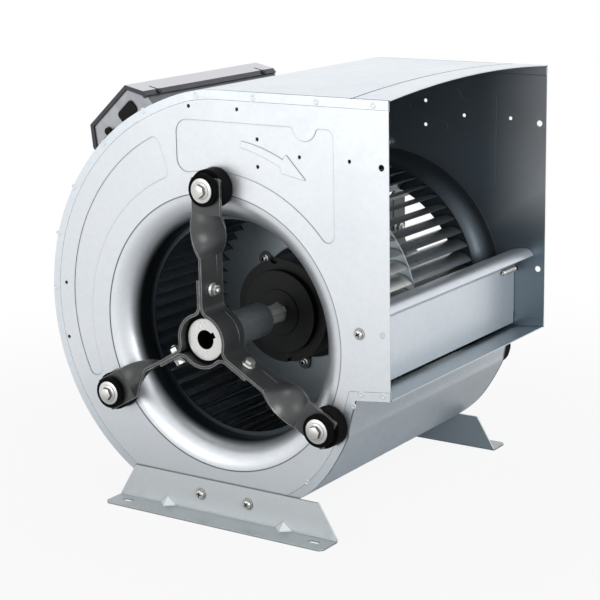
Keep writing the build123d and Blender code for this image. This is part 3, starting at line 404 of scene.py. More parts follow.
def shade_ring(tree, colour, radius, half_line, tone):
    """Draw a ring of another tone round the wheel's axis, sizes in metres."""
    own = add_node(tree, "TexCoord").outputs
    reach = vector_math(tree, "LENGTH", away_from_axis(tree, own["Object"]))
    ring = span(tree, off_ring(tree, reach, radius), half_line, half_line * 1.4, 1.0, 0.0)
    return mix_colour(tree, ring, colour, linear(*tone))


def shade_outer(tree, colour, tone, way=1):
    """Give the faces that look away from the wheel's axis, or with -1 toward it, a tone."""
    own = add_node(tree, "TexCoord").outputs
    away = vector_math(tree, "NORMALIZE", away_from_axis(tree, own["Object"]))
    likeness = vector_math(tree, "DOT_PRODUCT", away, own["Normal"])
    share = span(tree, likeness, 0.1 * way, 0.5 * way)
    return mix_colour(tree, share, colour, linear(*tone))


def shade_fold(tree, colour, place, strip_edge, tone):
    """Darken the outermost 3 mm of the wrap, where its side strip is folded."""
    own = add_node(tree, "TexCoord").outputs
    depth = arithmetic(tree, "ABSOLUTE", axes(tree, place)["Y"])
    line = span(tree, depth, strip_edge - 0.0034, strip_edge - 0.0026, 0.0, 0.8)
    side_on = arithmetic(tree, "ABSOLUTE", axes(tree, own["Normal"])["Y"])
    round_wrap = arithmetic(tree, "LESS_THAN", side_on, 0.95)
    mask = arithmetic(tree, "MULTIPLY", line, round_wrap)
    return mix_colour(tree, mask, colour, linear(*tone))


def shade_flanks(tree, colour, tone):
    """Give the faces that don't look along the wheel's axis their own tone."""
    own = add_node(tree, "TexCoord").outputs
    end_on = arithmetic(tree, "ABSOLUTE", axes(tree, own["Normal"])["Y"])
    return mix_colour(tree, span(tree, end_on, 0.9, 0.6), colour, linear(*tone))


def shade_behind(tree, colour, place, tone):
    """Give the rear half of a piece, past the wheel's middle disc, its own tone."""
    rear_half = span(tree, axes(tree, place)["Y"], -0.002, 0.002)
    return mix_colour(tree, rear_half, colour, linear(*tone))


print("steps: upper, ring, outer, fold, flanks, behind")

# %% [markdown]
# ## Finish: galvanised sheet
# One recipe serves every sheet part, with its own tones. The metal is only partly metallic,
# because a dull zinc skin scatters part of the light, and that keeps a pale plate pale
# beside a darker one.

# %% The recipe for sheet metal
# Tones of painted shade: grime with shade in corners, and the shade of a drawn throat.
sheet_grime_and_shade = (36, 42, 46)
throat_shade_tone = (38, 44, 48)
draw_line_tone = (60, 66, 70)
fold_tone = (72, 78, 82)


def start_finish(name, metallic, stretch=(1.0, 1.0, 1.0)):
    """A material with its shader and object coordinates, ready for a pattern."""
    finish = bpy.data.materials.new(name)
    finish.use_nodes = True
    tree = finish.node_tree
    shader = tree.nodes["Principled BSDF"]
    shader.inputs["Metallic"].default_value = metallic
    place = add_node(tree, "Mapping", {
        "Vector": add_node(tree, "TexCoord").outputs["Object"], "Scale": stretch,
    })
    return finish, tree, shader, place.outputs["Vector"]


def connect_shader(tree, shader, colour, pattern, relief):
    """Feed the shader a colour, and a pattern's roughness and height."""
    bump = add_node(tree, "Bump", {
        "Height": pattern["Height"], "Distance": relief, "Strength": 1.0,
    })
    fill_inputs(tree, shader, {
        "Base Color": colour, "Roughness": pattern["Roughness"], "Normal": bump.outputs["Normal"],
    })


def sheet_finish(name, pale, deep, metallic, roughness, crystals_per_metre=220.0,
                 inside=None, upper=None, outlet_floor_shade=None, fold_at=None, outer=None):
    """Galvanised sheet: tones as screen colours, roughness as a low and a high value."""
    finish, tree, shader, place = start_finish(name, metallic)
    zinc = place_group(tree, zinc_group, {
        "Place": place, "Pale": linear(*pale), "Deep": linear(*deep),
        "Crystals per metre": crystals_per_metre, "Smooth": roughness[0], "Rough": roughness[1],
    })
    # Painted shade with grime in the corners of every sheet part.
    colour = place_group(tree, corner_group, {
        "Colour": zinc["Colour"], "Grime and shade": linear(*sheet_grime_and_shade), "Reach": 0.0022, "Amount": 1.0,
    })["Colour"]
    # Painted shade: the inside faces, the throat and the back of the draw take darker tones, and a
    # dark line goes round the draw.
    if inside:
        own = add_node(tree, "TexCoord").outputs
        zone = place_group(tree, zone_group, {"Place": own["Object"], "Normal": own["Normal"]})
        colour = mix_colour(tree, zone["Inside"], colour, linear(*inside))
        colour = mix_colour(tree, zone["Throat shade"], colour, linear(*throat_shade_tone))
        colour = mix_colour(tree, zone["Line"], colour, linear(*draw_line_tone))
    if upper:
        colour = shade_upper(tree, colour, upper)
    # Painted shade on the wrap's upward faces below the axis, the floor of the outlet.
    if outlet_floor_shade:
        colour = shade_upper(tree, colour, outlet_floor_shade, axis_height * millimetre)
    if fold_at:
        colour = shade_fold(tree, colour, place, fold_at, fold_tone)
    if outer:
        colour = shade_outer(tree, colour, outer)
    connect_shader(tree, shader, colour, zinc, 0.00003)
    return finish


print("sheet recipe over a zinc group of", len(zinc_group.nodes), "nodes")

# %% [markdown]
# ## The sheet parts and their tones
# Each part gets its palest and deepest tone and its smoothest and roughest value. The wrap's
# fold line is placed by the wrap's own measured width, so that it follows the part. The
# front and rear blades differ only in how bright their outer faces are: painted light makes
# the front ones pale and the rear ones less so. The blades and end rings are darker than the
# middle disc as painted shade inside the wheel.

# %% Mix the sheet finishes
wrap_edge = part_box("scroll_wrap")[1][1]
finishes = {
    # The wrap's outlet floor takes painted shade.
    "wrap_steel": sheet_finish(
        "wrap steel", (240, 245, 249), (214, 223, 231), 0.9, (0.28, 0.4),
        fold_at=wrap_edge, outlet_floor_shade=(165, 176, 182)),
    "plate_steel": sheet_finish(
        "plate steel", (242, 245, 248), (226, 232, 238), 0.76, (0.3, 0.42),
        inside=(118, 130, 139)),
    "cutoff_steel": sheet_finish(
        "cutoff steel", (242, 247, 252), (226, 234, 242), 0.62, (0.3, 0.42)),
    # The feet's inner faces take painted shade where the scroll hangs over them.
    "foot_steel": sheet_finish(
        "foot steel", (248, 251, 252), (232, 238, 240), 0.5, (0.3, 0.42),
        inside=(158, 170, 176), upper=(178, 186, 190)),
    "wheel_steel": sheet_finish(
        "wheel steel", (206, 218, 224), (176, 190, 196), 0.7, (0.26, 0.4)),
    # Painted shade: the end rings are a darker tone of the wheel's steel, as inside the wheel.
    "ring_steel": sheet_finish(
        "ring steel", (84, 92, 98), (58, 66, 72), 0.85, (0.3, 0.45)),
    # Painted light: the front blades' outer faces are pale as if lit, the rear ones less so.
    "blade_steel": sheet_finish(
        "blade steel", (132, 140, 146), (94, 103, 110), 0.85, (0.24, 0.38),
        outer=(226, 225, 220)),
    "rear_blade_steel": sheet_finish(
        "rear blade steel", (132, 140, 146), (94, 103, 110), 0.85, (0.24, 0.38),
        outer=(158, 162, 164)),
    "box_steel": sheet_finish(
        "box steel", (206, 207, 209), (160, 163, 168), 0.6, (0.34, 0.5),
        crystals_per_metre=90.0),
}
print("sheet finishes:", ", ".join(finishes))

# %% [markdown]
# ## Shared effect: fine grain
# Paint, plastic, rubber and ground steel are never quite even. Two noises of different size
# give a slow change of tone and a fine grain, which each material scales for itself.

# %% Build the grain group
grain_group, grain_in, grain_out = new_group(
    "fine grain",
    {
        "Place": None, "Light": (0.1, 0.1, 0.1, 1), "Dark": (0.05, 0.05, 0.05, 1),
        "Grains per metre": 900.0, "Smooth": 0.4, "Rough": 0.55,
    },
    {"Colour": "Color", "Roughness": "Float", "Height": "Float"},
)
slow_share, fine_share = 1.2, 0.5

slow_tone = noise(grain_group, grain_in["Place"], 28.0, 3.0)
fine_tone = noise(grain_group, grain_in["Place"], grain_in["Grains per metre"], 2.0)
grain_tone = arithmetic(grain_group, "MULTIPLY_ADD", slow_tone, slow_share, -0.35)
grain_tone = arithmetic(
    grain_group, "MULTIPLY_ADD", fine_tone, fine_share, grain_tone, clamp=True,
)
fill_inputs(grain_group, grain_out, {
    "Colour": mix_colour(grain_group, grain_tone, grain_in["Light"], grain_in["Dark"]),
    "Roughness": span(grain_group, grain_tone, 0.0, 1.0, grain_in["Smooth"], grain_in["Rough"]),
    "Height": fine_tone,
})
print("grain group with", len(grain_group.nodes), "nodes")

# %% [markdown]
# ## Finish: paint, rubber, plastic and machined steel
# None of these has crystals like zinc, but all have a grain, so one recipe serves them too.
# The steps above are laid over it where a part needs them.

# %% The recipe for grained finishes
def grain_finish(name, light, dark, metallic, roughness, grains_per_metre=900.0,
                 relief=0.00004, stretch=(1.0, 1.0, 1.0), grime_and_shade_reach=0.003, grime_and_shade_amount=0.5,
                 mirror=0.5, bare_and_highlight=None, upper=None, outer=None, inner=None, flanks=None,
                 rings=(), behind=None):
    """A painted, moulded or machined finish from the grain group."""
    finish, tree, shader, place = start_finish(name, metallic, stretch)
    shader.inputs["Specular IOR Level"].default_value = mirror
    grain = place_group(tree, grain_group, {
        "Place": place, "Light": linear(*light), "Dark": linear(*dark),
        "Grains per metre": grains_per_metre, "Smooth": roughness[0], "Rough": roughness[1],
    })
    # Painted shade with grime in corners, from the corner group.
    colour = place_group(tree, corner_group, {
        "Colour": grain["Colour"], "Grime and shade": linear(12, 12, 13),
        "Reach": grime_and_shade_reach, "Amount": grime_and_shade_amount,
    })["Colour"]
    # Wear and a painted highlight along the edges.
    if bare_and_highlight:
        colour = place_group(tree, edge_group, {
            "Place": place, "Colour": colour, "Bare and highlight": linear(*bare_and_highlight),
        })["Colour"]
    if upper:
        colour = shade_upper(tree, colour, upper)
    if outer:
        colour = shade_outer(tree, colour, outer)
    if inner:
        colour = shade_outer(tree, colour, inner, way=-1)
    if flanks:
        colour = shade_flanks(tree, colour, flanks)
    for radius, half_line, tone in rings:
        colour = shade_ring(tree, colour, radius, half_line, tone)
    if behind:
        colour = shade_behind(tree, colour, place, behind)
    connect_shader(tree, shader, colour, grain, relief)
    return finish


print("grain recipe over a grain group of", len(grain_group.nodes), "nodes")

# %% [markdown]
# ## The other parts and their tones
# The straps and the motor are painted dark, the pads are rubber, and the hub, shaft and
# fasteners are bright metal. They differ in tone, metal share, grain size and how far the
# grain stands up.

# %% Mix the painted, moulded and machined finishes
strap_tones = ((98, 99, 99), (66, 68, 69), 0.4, (0.26, 0.38), 1400.0)
grimy_and_shaded = {"grime_and_shade_reach": 0.0026, "grime_and_shade_amount": 0.95}
# Painted shade in the cover's groove and at its step, as thin black rings.
cover_groove_shade = (0.045, 0.0009, (2, 2, 3))
cover_step_shade = (0.025, 0.0006, (3, 3, 4))
ear_ring = (0.0755, 0.0085, (118, 128, 134))
finishes.update({
    "bead_paint": grain_finish("bead paint", *strap_tones),
    # The straps' edges carry wear and a painted highlight.
    "strap_paint": grain_finish("strap paint", *strap_tones, bare_and_highlight=(214, 214, 212)),
    "zinc": grain_finish(
        "bright zinc", (240, 240, 237), (206, 206, 203), 0.8, (0.2, 0.34), 1600.0, **grimy_and_shaded),
    "bolt_zinc": grain_finish(
        # Painted shade on the flanks of the bolt heads and washers, which stay bright on top.
        "bolt zinc", (246, 246, 243), (216, 216, 213), 0.8, (0.2, 0.34), 1600.0,
        flanks=(112, 112, 110), **grimy_and_shaded),
    "rubber": grain_finish(
        "rubber", (11, 12, 13), (6, 6, 7), 0.0, (0.6, 0.78), 2200.0, relief=0.0001, mirror=0.08),
    # Painted shade: the hub's tube is darker and its bore near black, and a long corner reach
    # darkens more.
    "hub_steel": grain_finish(
        "hub steel", (250, 249, 246), (238, 237, 234), 0.6, (0.22, 0.34), 1800.0,
        grime_and_shade_reach=0.007, grime_and_shade_amount=0.97, outer=(160, 165, 168), inner=(26, 27, 28)),
    "shaft_steel": grain_finish(
        "shaft steel", (252, 252, 250), (236, 236, 235), 0.2, (0.2, 0.32), 300.0,
        relief=0.00002, stretch=(6.0, 0.6, 6.0)),
    "motor_paint": grain_finish(
        "motor paint", (30, 32, 34), (17, 18, 20), 0.1, (0.36, 0.5), 1500.0,
        mirror=0.3, rings=[cover_groove_shade, cover_step_shade, ear_ring]),
    "shell_paint": grain_finish(
        "shell paint", (24, 26, 28), (13, 14, 16), 0.1, (0.36, 0.5),
        mirror=0.3, rings=[ear_ring], behind=(186, 187, 187)),
    "core_steel": grain_finish(
        "core steel", (120, 122, 126), (80, 82, 86), 0.7, (0.35, 0.5), 40.0,
        relief=0.0001, stretch=(1.0, 90.0, 1.0)),
    "copper": grain_finish(
        "copper wire", (196, 122, 72), (140, 78, 42), 0.7, (0.3, 0.42), 700.0, relief=0.0002),
    "bearing_steel": grain_finish(
        "bearing steel", (220, 221, 224), (190, 192, 196), 0.95, (0.12, 0.2)),
    # The lid's upward faces are painted pale: a painted sheen of the bright studio overhead.
    "box_lid_paint": grain_finish(
        "lid paint", (84, 87, 92), (60, 63, 68), 0.35, (0.26, 0.38), 1300.0,
        upper=(236, 236, 243)),
    "box_base_paint": grain_finish(
        "box base paint", (128, 131, 136), (100, 103, 108), 0.35, (0.3, 0.42), 1300.0),
    "black_steel": grain_finish(
        "black steel", (52, 54, 57), (34, 36, 39), 0.6, (0.3, 0.42), 1300.0),
    "black_plastic": grain_finish(
        "black plastic", (15, 15, 16), (9, 9, 10), 0.0, (0.5, 0.62), 1800.0, mirror=0.2),
    "block_plastic": grain_finish(
        "block plastic", (226, 222, 208), (204, 200, 186), 0.0, (0.45, 0.6), 1500.0),
    "capacitor_can": grain_finish(
        "capacitor can", (214, 216, 219), (186, 189, 193), 0.8, (0.25, 0.38)),
})
print(len(finishes), "finishes in all")

# %% [markdown]
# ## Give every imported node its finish
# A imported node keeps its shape, which is exact, and only its material slot changes.

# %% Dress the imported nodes
nodes_by_finish = {
    "wrap_steel": ["scroll_wrap"],
    "plate_steel": ["side_plate_front", "side_plate_rear"],
    "cutoff_steel": ["cutoff_plate"],
    "foot_steel": ["foot_front", "foot_rear"],
    "strap_paint": [
        "strap_right_front", "strap_right_rear", "strap_left_front", "strap_left_rear",
        "strap_bottom_front", "strap_bottom_rear",
    ],
    "zinc": [
        "cutoff_screws", "foot_screws", "clamp_bolts", "clamp_nuts", "mount_sleeves",
        "mount_washers", "mount_bolts", "mount_nuts", "rotor_screws", "rotor_nuts",
        "box_floor_screws",
    ],
    "rubber": [
        "mount_pads_front", "mount_pads_rear", "mount_buffers_front", "mount_buffers_rear",
        "hub_rubber_front", "hub_rubber_rear",
    ],
    "hub_steel": ["hub_sleeve_front", "hub_sleeve_rear"],
    "shaft_steel": ["motor_shaft", "shaft_keys"],
    "core_steel": ["stator_core", "rotor_core"],
    "copper": ["stator_windings"],
    "bearing_steel": ["bearing_inner_rings", "bearing_outer_rings"],
    "motor_paint": ["rotor_cover"],
    "shell_paint": ["rotor_shell"],
    "wheel_steel": ["wheel_disc"],
    "ring_steel": ["end_ring_front", "end_ring_rear"],
    "blade_steel": ["blades_front"],
    "rear_blade_steel": ["blades_rear"],
    "box_lid_paint": ["terminal_box_cover"],
    "box_base_paint": ["terminal_box_base"],
    "black_steel": ["box_cover_screws"],
    "box_steel": ["terminal_box_end_front", "terminal_box_end_rear"],
    "black_plastic": ["cable_port_plug", "cable_gland"],
    "block_plastic": ["terminal_block"],
    "capacitor_can": ["capacitor"],
}
for slot, names in nodes_by_finish.items():
    for name in names:
        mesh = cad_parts[name].data
        mesh.materials.clear()
        mesh.materials.append(finishes[slot])
dressed = {name for names in nodes_by_finish.values() for name in names}
print(len(dressed), "nodes dressed; left:", sorted(set(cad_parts) - dressed))

# %% [markdown]
# ## Studio: the world
# A catalogue picture stands on white paper under large soft lamps. The world is white where
# the camera and mirrors look at it, and dimmer as a light, so that the lamps shape the forms.

# %% Build the world
white = (1.0, 1.0, 1.0, 1.0)
sky_strength = 0.28


def ray_mask(tree, *kinds):
    """A mask that is 1 for the named kinds of rays."""
    path = add_node(tree, "LightPath").outputs
    mask = path[kinds[0]]
    for kind in kinds[1:]:
        mask = arithmetic(tree, "MAXIMUM", mask, path[kind])
    return mask


world = bpy.data.worlds.new("studio world")
bpy.context.scene.world = world
world.use_nodes = True
world_tree = world.node_tree
world_tree.nodes.clear()
seen_white = ray_mask(world_tree, "Is Camera Ray", "Is Glossy Ray", "Is Transmission Ray")
sky_light = add_node(world_tree, "Background", {"Color": white, "Strength": sky_strength})
sky_seen = add_node(world_tree, "Background", {"Color": white, "Strength": 1.0})
sky_mix = add_node(world_tree, "MixShader", {
    0: seen_white, 1: sky_light.outputs["Background"], 2: sky_seen.outputs["Background"],
})
add_node(world_tree, "OutputWorld", {"Surface": sky_mix.outputs["Shader"]})
print("world with", len(world_tree.nodes), "nodes")

# %% [markdown]
# ## Studio: the floor
# The paper is white to the camera and takes a soft shadow from the lamps near the blower. A
# glow mixed over a plain shader does this, and it grows with the distance from the middle,
# so that no edge of the paper shows.

# %% Lay the paper floor
floor_half_width = 6.0
paper_tone = (0.76, 0.77, 0.78, 1.0)
shadow_reach = 0.3

floor_mesh = bmesh.new()
bmesh.ops.create_grid(floor_mesh, x_segments=1, y_segments=1, size=floor_half_width)
floor_data = bpy.data.meshes.new("floor")
floor_mesh.to_mesh(floor_data)
floor_mesh.free()
floor = bpy.data.objects.new("floor", floor_data)
bpy.context.scene.collection.objects.link(floor)

paper = bpy.data.materials.new("white paper")
paper.use_nodes = True
paper_tree = paper.node_tree
paper_shader = paper_tree.nodes["Principled BSDF"]
fill_inputs(paper_tree, paper_shader, {"Base Color": paper_tone, "Roughness": 0.9})
paper_glow = add_node(paper_tree, "Emission", {"Color": white, "Strength": 1.0})
paper_place = add_node(paper_tree, "TexCoord").outputs["Object"]
paper_reach = vector_math(paper_tree, "LENGTH", paper_place)
seen_share = span(paper_tree, paper_reach, shadow_reach, 1.0, 0.9, 1.0, smooth=True)
mirrored_share = span(paper_tree, paper_reach, shadow_reach, 0.8, 0.0, 0.8, smooth=True)
paper_white = arithmetic(
    paper_tree, "MAXIMUM",
    arithmetic(paper_tree, "MULTIPLY", ray_mask(paper_tree, "Is Camera Ray"), seen_share),
    arithmetic(paper_tree, "MULTIPLY", ray_mask(paper_tree, "Is Glossy Ray"), mirrored_share),
)
paper_mix = add_node(paper_tree, "MixShader", {
    0: paper_white, 1: paper_shader.outputs["BSDF"], 2: paper_glow.outputs["Emission"],
})
fill_inputs(paper_tree, paper_tree.nodes["Material Output"], {
    "Surface": paper_mix.outputs["Shader"],
})
floor_data.materials.append(paper)
print("paper with", len(paper_tree.nodes), "nodes")

# %% [markdown]
# ## Studio: the lamps
# Three large lamps light the front plate, the top and the outlet's side. A large lamp close
# by gives soft borders of shadow and broad highlights on bare metal.

# %% Hang the lamps
lamp_target = at(0, 0, 20)


def soft_lamp(name, place, size, power):
    """A square lamp aimed at the middle of the blower."""
    lamp = bpy.data.lights.new(name, "AREA")
    lamp.shape = "SQUARE"
    lamp.size = size
    lamp.energy = power
    holder = bpy.data.objects.new(name, lamp)
    aim = (lamp_target - Vector(place)).to_track_quat("-Z", "Y").to_matrix().to_4x4()
    holder.matrix_world = Matrix.Translation(place) @ aim
    bpy.context.scene.collection.objects.link(holder)
    return holder


lamps = [
    soft_lamp("front left lamp", (-1.0, -2.8, 0.75), 1.6, 11.0),
    soft_lamp("top lamp", (-0.4, 0.2, 3.0), 1.8, 12.0),
    soft_lamp("right lamp", (2.6, -1.5, 1.0), 1.3, 27.0),
]
print(len(lamps), "lamps")

# %% [markdown]
# ## Helpers for new pieces
# Small fasteners and pressings are shaped here with mesh operators. A form is spun or
# extruded about its own +Z at the origin, then stamped into its piece at a place, so that
# the piece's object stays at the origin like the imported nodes.

# %% Helpers for pieces
merge_distance = 0.000002


def stamp(shape, form, place):
    """Copy a small form into a piece at a place, and free it."""
    carrier = bpy.data.meshes.new("carrier")
    bmesh.ops.transform(form, matrix=place, verts=form.verts)
    form.to_mesh(carrier)
    form.free()
    shape.from_mesh(carrier)
    bpy.data.meshes.remove(carrier)


def finish_piece(shape, name, finish, body, smooth_angle=35.0):
    """Close a mesh, give it its finish, and let it move with its body."""
    bmesh.ops.remove_doubles(shape, verts=shape.verts, dist=merge_distance)
    bmesh.ops.recalc_face_normals(shape, faces=shape.faces)
    for face in shape.faces:
        face.smooth = True
    for edge in shape.edges:
        edge.smooth = edge.calc_face_angle(0.0) < radians(smooth_angle)
    data = bpy.data.meshes.new(name)
    shape.to_mesh(data)
    shape.free()
    data.materials.append(finishes[finish])
    piece = bpy.data.objects.new(name, data)
    bpy.context.scene.collection.objects.link(piece)
    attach(piece, body)
    print(f"{name}: {len(data.polygons)} faces")
    return piece


def facing(origin, outward, turn=0.0):
    """The place where +Z points outward, turned about that direction in degrees."""
    aim = Vector(outward).normalized().to_track_quat("Z", "Y").to_matrix().to_4x4()
    return Matrix.Translation(origin) @ aim @ Matrix.Rotation(radians(turn), 4, "Z")


print("piece helpers: stamp, finish_piece, facing")

# %% [markdown]
# ## Turned and hexagonal forms
# Washers, shanks and flanges are turned on a lathe, so a profile spun about +Z is the true
# way to make them. A bolt's head is an even bar with its top edges bevelled.

# %% Turned forms and even bars
def turned(profile, steps=24):
    """Spin a profile of radius and height, in millimetres, about +Z."""
    form = bmesh.new()
    points = [
        form.verts.new(Vector((radius, 0.0, height)) * millimetre) for radius, height in profile
    ]
    edges = [form.edges.new(pair) for pair in zip(points, points[1:])]
    bmesh.ops.spin(
        form, geom=points + edges, cent=(0, 0, 0), axis=(0, 0, 1),
        angle=2 * pi, steps=steps, use_merge=True,
    )
    bmesh.ops.remove_doubles(form, verts=form.verts, dist=merge_distance)
    return form


def even_bar(corners, across, low, high, chamfer=0.0):
    """A bar of even sides between two heights, with its top edges chamfered."""
    form = bmesh.new()
    corner_radius = across / 2 / cos(pi / corners) * millimetre
    bmesh.ops.create_circle(form, cap_ends=True, segments=corners, radius=corner_radius)
    bmesh.ops.translate(form, verts=form.verts, vec=(0, 0, low * millimetre))
    grown = bmesh.ops.extrude_face_region(
        form, geom=list(form.faces), use_keep_orig=True,
    )["geom"]
    top_verts = [part for part in grown if isinstance(part, bmesh.types.BMVert)]
    bmesh.ops.translate(form, verts=top_verts, vec=(0, 0, (high - low) * millimetre))
    if chamfer:
        top_edges = [part for part in grown if isinstance(part, bmesh.types.BMEdge)]
        bmesh.ops.bevel(
            form, geom=top_edges, offset=chamfer * millimetre, affect="EDGES",
            segments=2, profile=0.5, material=-1,
        )
    return form


print("form helpers: turned, even_bar")

# %% [markdown]
# ## Screw heads and threads
# A cross recess is punched into a domed head. Bridging each ring to the next, and the last
# ring to the cross, keeps the head one closed skin, with no boolean to clean up. A thread is
# one tooth that climbs while it turns.

# %% Cross heads and threads
def cross_head(radius, height, arm=0.3, depth=0.6, steps=24):
    """A pan head with a cross recess: rings for the dome, then a cross let into its top."""
    form = bmesh.new()
    loops = []
    for share, rise in ((1.0, 0.0), (1.0, 0.4), (0.94, 0.72), (0.82, 0.92), (0.7, 1.0)):
        ring = bmesh.ops.create_circle(
            form, segments=steps, radius=radius * share * millimetre,
        )["verts"]
        bmesh.ops.translate(form, verts=ring, vec=(0, 0, height * rise * millimetre))
        loops.append(list({edge for vert in ring for edge in vert.link_edges}))
    corners = ((0.6, arm / 2), (arm / 2, arm / 2), (arm / 2, 0.6))
    cross = []
    for quarter in range(4):
        turn = Matrix.Rotation(quarter * pi / 2, 2)
        cross += [turn @ Vector(point) for point in corners]
    for level, reach in ((1.0, radius), (1.0 - depth, radius * 0.8)):
        verts = [
            form.verts.new(Vector((point.x * reach, point.y * reach, height * level)) * millimetre)
            for point in cross
        ]
        loops.append([form.edges.new(pair) for pair in zip(verts, verts[1:] + verts[:1])])
    for outer, inner in zip(loops, loops[1:]):
        bmesh.ops.bridge_loops(form, edges=outer + inner)
    bmesh.ops.contextual_create(form, geom=loops[-1])
    return form


def helix(radius, pitch, start, end, depth=0.5, steps=12):
    """A screw thread: one tooth spun about +Z while it climbs."""
    form = bmesh.new()
    tooth = [
        form.verts.new(Vector((radius - reach, 0.0, start + rise * pitch)) * millimetre)
        for reach, rise in ((depth, -0.5), (0.0, -0.08), (0.0, 0.08), (depth, 0.5))
    ]
    flank = form.faces.new(tooth)
    turns = (end - start) / pitch
    total = int(turns * steps)
    bmesh.ops.spin(
        form, geom=[flank] + list(flank.edges) + tooth, cent=(0, 0, 0), axis=(0, 0, 1),
        dvec=(0, 0, (end - start) / total * millimetre), angle=2 * pi * turns, steps=total,
    )
    return form


half_width = 165.5
sides = (-1, 1)
arm_angles = (90.0, 210.0, 330.0)
print("screw helpers: cross_head, helix; the side plates lie", half_width, "mm from the middle")

# %% [markdown]
# ## Clinch buttons along the folded strip
# The wrap is joined to each side plate without rivets: a punch draws both sheets into a die
# and leaves a small button. A spun profile with a raised ring and a dimple shows it, and a
# list of places along the strip puts one about every 75 millimetres.

# %% Clinch buttons
button_places = [
    (-21, 241.4), (48, 242.6), (121, 242.6), (184, 242.6), (-89, 222), (-143, 185), (-186, 136),
    (-211, 84), (-218, 24), (192, -36.6), (167, -38.5), (158, -52), (140, -93), (102, -140),
]
button_profile = [
    (0.0, -0.1), (1.1, -0.1), (1.5, 0.15), (1.9, 0.3), (2.4, 0.3), (2.8, 0.15), (3.0, -0.1),
]
buttons = bmesh.new()
for side in sides:
    for x, z in button_places:
        seat = facing(at(x, side * half_width, z), (0, side, 0))
        stamp(buttons, turned(button_profile, 20), seat)
finish_piece(buttons, "clinch_buttons", "plate_steel", "housing")

# %% [markdown]
# ## Sheet screws of the feet and the cutoff
# The feet and the cutoff plate are held by self-tapping screws with a washer and a cross
# recess. The far cutoff screw shows its whole thread inside the outlet, so the thread is a
# real helix round a core, with a pointed tip.

# %% Screws of the feet and the cutoff
washer_height = 1.0
screw_washer = [
    (0.0, 0.0), (6.0, 0.0), (6.0, 0.7), (5.6, washer_height), (0.0, washer_height),
]
foot_face = half_width + 2.0
foot_screw_level = -176.0
foot_shank = [(0.0, -10.0), (2.4, -8.0), (2.4, 0.5), (0.0, 0.5)]
foot_screws = bmesh.new()
for side in sides:
    outward = (0, side, 0)
    for x in (30.0, -30.0):
        seat = facing(at(x, side * foot_face, foot_screw_level), outward)
        top = at(x, side * (foot_face + washer_height), foot_screw_level)
        stamp(foot_screws, turned(screw_washer, 28), seat)
        stamp(foot_screws, cross_head(4.6, 3.0), facing(top, outward, 20 + x))
        stamp(foot_screws, turned(foot_shank, 16), seat)
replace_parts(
    finish_piece(foot_screws, "foot_sheet_screws", "zinc", "housing"),
    "foot_screws",
)

cutoff_screw_x, cutoff_screw_z = 165.9, 21.6
cutoff_washer = [(radius * 5.5 / 6, height) for radius, height in screw_washer]
cutoff_core = [(0.0, -36.0), (0.8, -35.2), (1.5, -31.0), (1.5, 0.5), (0.0, 0.5)]
cutoff_screws = bmesh.new()
for side in sides:
    outward = (0, side, 0)
    seat = facing(at(cutoff_screw_x, side * half_width, cutoff_screw_z), outward)
    top = at(cutoff_screw_x, side * (half_width + washer_height), cutoff_screw_z)
    stamp(cutoff_screws, turned(cutoff_washer, 28), seat)
    stamp(cutoff_screws, cross_head(4.2, 2.6), facing(top, outward, 38))
    stamp(cutoff_screws, turned(cutoff_core, 16), seat)
    stamp(cutoff_screws, helix(2.9, 2.6, -32.0, -5.0, 1.5), seat)
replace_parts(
    finish_piece(cutoff_screws, "cutoff_sheet_screws", "zinc", "housing"),
    "cutoff_screws",
)

# %% [markdown]
# ## Clamp bolts of the straps
# Each arm is two bent straps laid back to back, and a flanged hex bolt with its nut pinches
# them beside the hub. The flange is a shallow cone, the hexagon has the chamfer that turning
# leaves on its top, and the thread shows past the nut.

# %% Clamp bolts and nuts
clamp_radius = 50.0
strap_middle = 180.5
clamp_flange = [(0.0, 3.1), (7.1, 3.1), (7.1, 3.6), (5.4, 4.9), (0.0, 4.9)]
nut_flange = [(3.1, 3.1), (7.1, 3.1), (7.1, 3.6), (5.4, 4.9), (3.1, 4.9), (3.1, 3.1)]
clamp_shank = [(0.0, -12.0), (2.3, -11.6), (2.6, -11.0), (2.6, 4.0), (0.0, 4.0)]
clamp_hexagon = (6, 10.0, 4.2, 9.4, 0.8)
clamp_bolts, clamp_nuts = bmesh.new(), bmesh.new()
for side in sides:
    for angle in arm_angles:
        seat = round_axis(clamp_radius, angle, side * strap_middle)
        across = (cos(radians(angle + 90)), 0, sin(radians(angle + 90)))
        back = (-across[0], 0, -across[2])
        stamp(clamp_bolts, turned(clamp_flange, 28), facing(seat, across))
        stamp(clamp_bolts, even_bar(*clamp_hexagon), facing(seat, across, 12))
        stamp(clamp_bolts, turned(clamp_shank, 16), facing(seat, across))
        stamp(clamp_bolts, helix(3.0, 1.0, -11.4, -3.6, 0.45), facing(seat, across))
        stamp(clamp_nuts, turned(nut_flange, 28), facing(seat, back))
        stamp(clamp_nuts, even_bar(*clamp_hexagon), facing(seat, back, 20))
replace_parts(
    finish_piece(clamp_bolts, "strap_clamp_bolts", "zinc", "housing"),
    "clamp_bolts",
)
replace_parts(finish_piece(clamp_nuts, "strap_clamp_nuts", "zinc", "housing"), "clamp_nuts")

# %% [markdown]
# ## Beads pressed into the straps
# A shallow lengthwise bead stiffens each long leg, and another follows the bend round the
# hub. They are half-sunk round bars here: a capsule spun about the leg, and a ring section
# swept part of the way round the wheel's axis.

